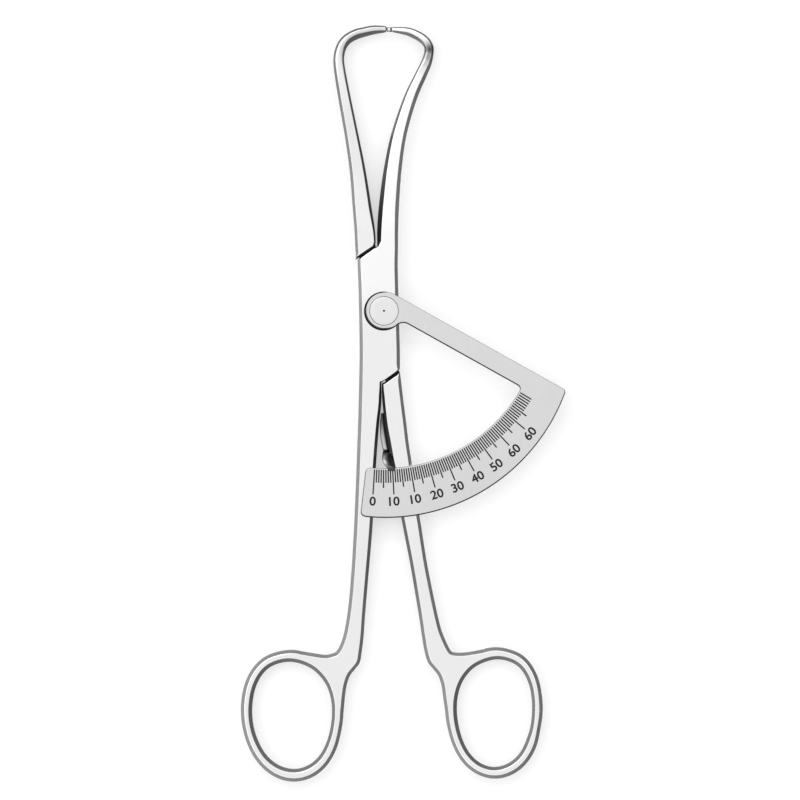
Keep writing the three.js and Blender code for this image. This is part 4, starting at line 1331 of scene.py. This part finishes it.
def satinSteelGroup():
    group, given, end = newGroup(
        "satinSteel",
        [("Vector", "Vector", None), ("Bright", "Color", (0.9, 0.9, 0.9, 1)),
         ("Dull", "Color", (0.75, 0.75, 0.76, 1)), ("Roughness", "Float", 0.25), ("Grain", "Float", 0.5)],
        [("Color", "Color"), ("Roughness", "Float"), ("Height", "Float")])
    cloud = addNode(group, "TexNoise", (-600, 300),
                    {"Vector": given["Vector"], "Scale": finish["cloudScale"], "Detail": 4.0, "Roughness": 0.55})
    stretch = addNode(group, "Mapping", (-700, 0), {"Vector": given["Vector"], "Scale": finish["grainStretch"]})
    grain = addNode(group, "TexNoise", (-480, 0),
                    {"Vector": stretch.outputs["Vector"], "Scale": 1.0, "Detail": 3.0, "Roughness": 0.6})
    turned = addNode(group, "Mapping", (-700, -300),
                     {"Vector": given["Vector"], "Rotation": finish["hairTurn"], "Scale": finish["hairStretch"]})
    hair = addNode(group, "TexNoise", (-480, -300),
                   {"Vector": turned.outputs["Vector"], "Scale": 1.0, "Detail": 2.0, "Roughness": 0.5})
    scratches = addNode(group, "MapRange", (-280, -300),
                        {"Value": hair.outputs["Fac"], **fromTo(finish["hairFrom"])})
    tone = addNode(group, "MapRange", (-400, 300),
                   {"Value": cloud.outputs["Fac"], **fromTo(finish["cloudFrom"])})
    colour = mixed(group, (-100, 300), tone.outputs["Result"], given["Dull"], given["Bright"])
    centred = addNode(group, "Math", (-280, 0), {0: grain.outputs["Fac"], 1: 0.5}, operation="SUBTRACT")
    rough = addNode(group, "Math", (-100, 0), {0: centred.outputs[0], 1: finish["grainRough"], 2: given["Roughness"]},
                    operation="MULTIPLY_ADD")
    cloudRough = addNode(group, "Math", (80, 60), {0: tone.outputs["Result"], 1: finish["cloudRough"],
                                                   2: rough.outputs[0]}, operation="MULTIPLY_ADD")
    scratched = addNode(group, "Math", (260, 0),
                        {0: scratches.outputs["Result"], 1: finish["hairRough"], 2: cloudRough.outputs[0]},
                        operation="MULTIPLY_ADD", use_clamp=True)
    height = addNode(group, "Math", (80, -200), {0: grain.outputs["Fac"], 1: given["Grain"]}, operation="MULTIPLY")
    scored = addNode(group, "Math", (260, -200), {0: scratches.outputs["Result"], 1: finish["hairDepth"],
                                                  2: height.outputs[0]}, operation="MULTIPLY_ADD")
    feed(group, end, {"Color": colour, "Roughness": scratched.outputs[0], "Height": scored.outputs[0]})
    return group


satinSteel = satinSteelGroup()


# "fade" leads along Y to a second tone painted along the arm, and the painted shade colour is used where the mesh's
# own shade attribute is 1
def steelMaterial(name, look):
    material, tree, shader = newMaterial(name)
    place = addNode(tree, "TexCoord", (-900, 0), {})
    steel = addNode(tree, "Group", (-500, 0), {}, node_tree=satinSteel)
    feed(tree, steel, {"Vector": place.outputs["Object"], "Bright": look["bright"] + (1,), "Dull": look["dull"] + (1,),
                       "Roughness": look["roughness"], "Grain": look["grain"]})
    tone = steel.outputs["Color"]
    if "fade" in look:
        parts = addNode(tree, "SeparateXYZ", (-700, 350), {0: place.outputs["Object"]})
        rise = addNode(tree, "MapRange", (-500, 350), {"Value": parts.outputs["Y"], **fromTo(look["fade"], mm)},
                       interpolation_type="SMOOTHSTEP")
        tone = mixed(tree, (-250, 350), rise.outputs["Result"], tone, look["paintedTone"] + (1,))
    if "flank" in look:
        # Painted shade: the attribute darkens the steel towards the painted shade colour
        skin = addNode(tree, "Attribute", (-500, 150), {}, attribute_name="flank")
        tone = mixed(tree, (-100, 200), skin.outputs["Fac"], tone, look["flank"] + (1,))
    bump = addNode(tree, "Bump", (-250, -250), {"Strength": look["bump"], "Distance": finish["bumpDistance"],
                                                "Height": steel.outputs["Height"]})
    feed(tree, shader, {"Metallic": 1.0, "Base Color": tone, "Roughness": steel.outputs["Roughness"],
                        "Normal": bump.outputs["Normal"]})
    return material


# The arms', plate's and pointer's darkest colour is their painted shade colour
armLook = {"bright": (0.9, 0.9, 0.905), "dull": (0.87, 0.87, 0.875), "roughness": 0.22, "grain": 0.6, "bump": 0.1,
           "flank": (0.035, 0.035, 0.036)}
looks = {
    # The front arm is painted lighter over its box and jaw, a painted highlight, and the rear arm is painted darker
    # along its jaw, painted shade
    "frontArm": {**armLook, "fade": (-6, 14), "paintedTone": (0.985, 0.985, 0.985)},
    "rearArm": {**armLook, "fade": (15, 60), "paintedTone": (0.76, 0.76, 0.765)},
    "plate": {"bright": (0.725, 0.725, 0.73), "dull": (0.685, 0.685, 0.69), "roughness": 0.26, "grain": 0.5,
              "bump": 0.06, "flank": (0.04, 0.04, 0.042)},
    "rivet": {"bright": (0.83, 0.83, 0.83), "dull": (0.8, 0.8, 0.8), "roughness": 0.24, "grain": 0.5, "bump": 0.06},
    "pointer": {"bright": (0.8, 0.8, 0.805), "dull": (0.74, 0.74, 0.745), "roughness": 0.24, "grain": 0.6, "bump": 0.1,
                "flank": (0.02, 0.02, 0.021)},
    # The stub's steel is made darker than the rest: painted shade
    "stub": {"bright": (0.62, 0.62, 0.625), "dull": (0.55, 0.55, 0.555), "roughness": 0.2, "grain": 0.6, "bump": 0.1},
}
fillings = {
    "paintedGapShade": {"dark": 0.004, "light": 0.016, "roughness": (0.6, 0.8)},
    "blackFilling": {"dark": 0.005, "light": 0.02, "roughness": (0.45, 0.65)},
    "speckScale": 3000.0, "shine": 0.2,
}


# Painted shade for gaps and seams, and the marks' black filling: dark and finely speckled
def speckledMaterial(name):
    look = fillings[name]
    material, tree, shader = newMaterial(name)
    place = addNode(tree, "TexCoord", (-900, 0), {})
    speck = addNode(tree, "TexNoise", (-650, 0),
                    {"Vector": place.outputs["Object"], "Scale": fillings["speckScale"], "Detail": 3.0})
    colour = addNode(tree, "ValToRGB", (-400, 100), {"Fac": speck.outputs["Fac"]})
    for element, tone in zip(colour.color_ramp.elements, (look["dark"], look["light"])):
        element.color = (tone, tone, tone, 1)
    rough = addNode(tree, "MapRange", (-400, -150), {"Value": speck.outputs["Fac"], "To Min": look["roughness"][0],
                                                     "To Max": look["roughness"][1]})
    feed(tree, shader, {"Base Color": colour.outputs["Color"], "Roughness": rough.outputs["Result"],
                        "Specular IOR Level": fillings["shine"]})
    return material


# Curves that swing out by a hair are held within the model's own box
def dress(piece, materials, body, slot, node=None):
    for vertex in piece.data.vertices:
        vertex.co = [max(low, min(high, value)) for value, low, high in zip(vertex.co, *cadBox)]
    for material in materials:
        piece.data.materials.append(material)
    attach(piece, body)
    if node:
        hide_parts(node)


# Painted shade for gaps and seams: the pieces' second material
gapShade = speckledMaterial("paintedGapShade")
for piece, look, body, slot in (
    (frontArm, "frontArm", "front", "front_arm"), (measuringStub, "stub", "front", "front_arm"),
    (rearArm, "rearArm", "rear", "rear_arm"), (pivotRivet, "rivet", "front", "pivot_rivet"),
    (scalePlate, "plate", "front", "scale_plate"), (indexPointer, "pointer", "rear", "index_pointer"),
):
    smoothed(piece, plate["smoothAngle"] if piece == scalePlate else joint["smoothAngle"])
    steel = steelMaterial(look + "Steel", looks[look])
    materials = [steel] if piece == indexPointer else [steel, gapShade]
    dress(piece, materials, body, slot, None if piece == measuringStub else slot)
filling = speckledMaterial("blackFilling")
dress(scaleMarks, [filling], "front", "scale_plate")
dress(scaleNumerals, [filling], "front", "scale_plate")
print("materials given")


# Floor, light and camera
studio = {
    "floorSide": 6.0, "floorTone": 0.58, "floorRough": 0.9, "floorShine": 0.1, "floorGlow": 0.5,
    "keyPlace": (-0.4, 0.5, 1.9), "keySide": 0.5, "keyWatts": 1.8,
    "horizonLeft": 0.33, "horizonRight": 0.12, "ringFrom": (0.45, 0.7), "ringNear": 2.6, "ringFar": 0.9,
    "brightSide": (-0.6, 0.75, 0), "brightReach": 0.8, "topFrom": (0.74, 0.86), "top": 0.93,
    "field": 0.2496, "centre": (4.99, -27.8), "cameraHeight": 2.4, "sensor": 36, "farthest": 20,
}


def makeFloor():
    deselectAll()
    bpy.ops.mesh.primitive_plane_add(size=studio["floorSide"], location=(0, 0, 0))
    floor = bpy.context.object
    floor.name = "floor"
    material, tree, shader = newMaterial("paleFloor")
    feed(tree, shader, {"Base Color": (studio["floorTone"],) * 3 + (1,), "Roughness": studio["floorRough"],
                        "Specular IOR Level": studio["floorShine"], "Emission Color": (1, 1, 1, 1),
                        "Emission Strength": studio["floorGlow"]})
    floor.data.materials.append(material)


def makeKey():
    data = bpy.data.lights.new("key", "AREA")
    data.shape = "SQUARE"
    data.size = studio["keySide"]
    data.energy = studio["keyWatts"]
    lamp = bpy.data.objects.new("key", data)
    bpy.context.scene.collection.objects.link(lamp)
    lamp.location = studio["keyPlace"]
    lamp.rotation_euler = (-lamp.location).to_track_quat("-Z", "Y").to_euler()


# Sky that the steel mirrors: dark at the horizon, a bright ring above it, and an even top
def makeWorld():
    world = bpy.data.worlds.new("studio")
    world.use_nodes = True
    bpy.context.scene.world = world
    tree = world.node_tree
    place = addNode(tree, "TexCoord", (-900, 0), {}).outputs["Generated"]
    parts = addNode(tree, "SeparateXYZ", (-700, 0), {0: place})
    side = addNode(tree, "MapRange", (-500, 100), {"Value": parts.outputs["X"], "From Min": -1.0, "From Max": 1.0,
                                                   "To Min": studio["horizonLeft"], "To Max": studio["horizonRight"]})
    lean = addNode(tree, "VectorMath", (-700, -300), {0: place, 1: studio["brightSide"]}, operation="DOT_PRODUCT")
    ringTone = addNode(tree, "MapRange", (-500, -300), {
        "Value": lean.outputs["Value"], **fromTo((-1, 1), studio["brightReach"]),
        "To Min": studio["ringFar"], "To Max": studio["ringNear"]})
    ringStart, topStart = (
        addNode(tree, "MapRange", (-500, height), {"Value": parts.outputs["Z"], **fromTo(studio[name])},
                interpolation_type="SMOOTHSTEP")
        for name, height in (("ringFrom", -100), ("topFrom", -500)))
    low = addNode(tree, "Mix", (-250, 0), {0: ringStart.outputs["Result"], 2: side.outputs["Result"],
                                           3: ringTone.outputs["Result"]}, data_type="FLOAT")
    tone = addNode(tree, "Mix", (-50, 0), {0: topStart.outputs["Result"], 2: low.outputs[0], 3: studio["top"]},
                   data_type="FLOAT")
    feed(tree, tree.nodes["Background"], {"Color": tone.outputs[0]})


def makeCamera():
    data = bpy.data.cameras.new("camera")
    height = studio["cameraHeight"]
    data.sensor_width = studio["sensor"]
    data.lens = studio["sensor"] * (height - joint["boxDepth"] * mm) / studio["field"]
    data.clip_end = studio["farthest"]
    camera = bpy.data.objects.new("camera", data)
    bpy.context.scene.collection.objects.link(camera)
    camera.location = (studio["centre"][0] * mm, studio["centre"][1] * mm, height)
    bpy.context.scene.camera = camera


makeFloor()
makeWorld()
makeKey()
makeCamera()
bpy.context.scene.view_settings.view_transform = "Standard"
print("stage set")
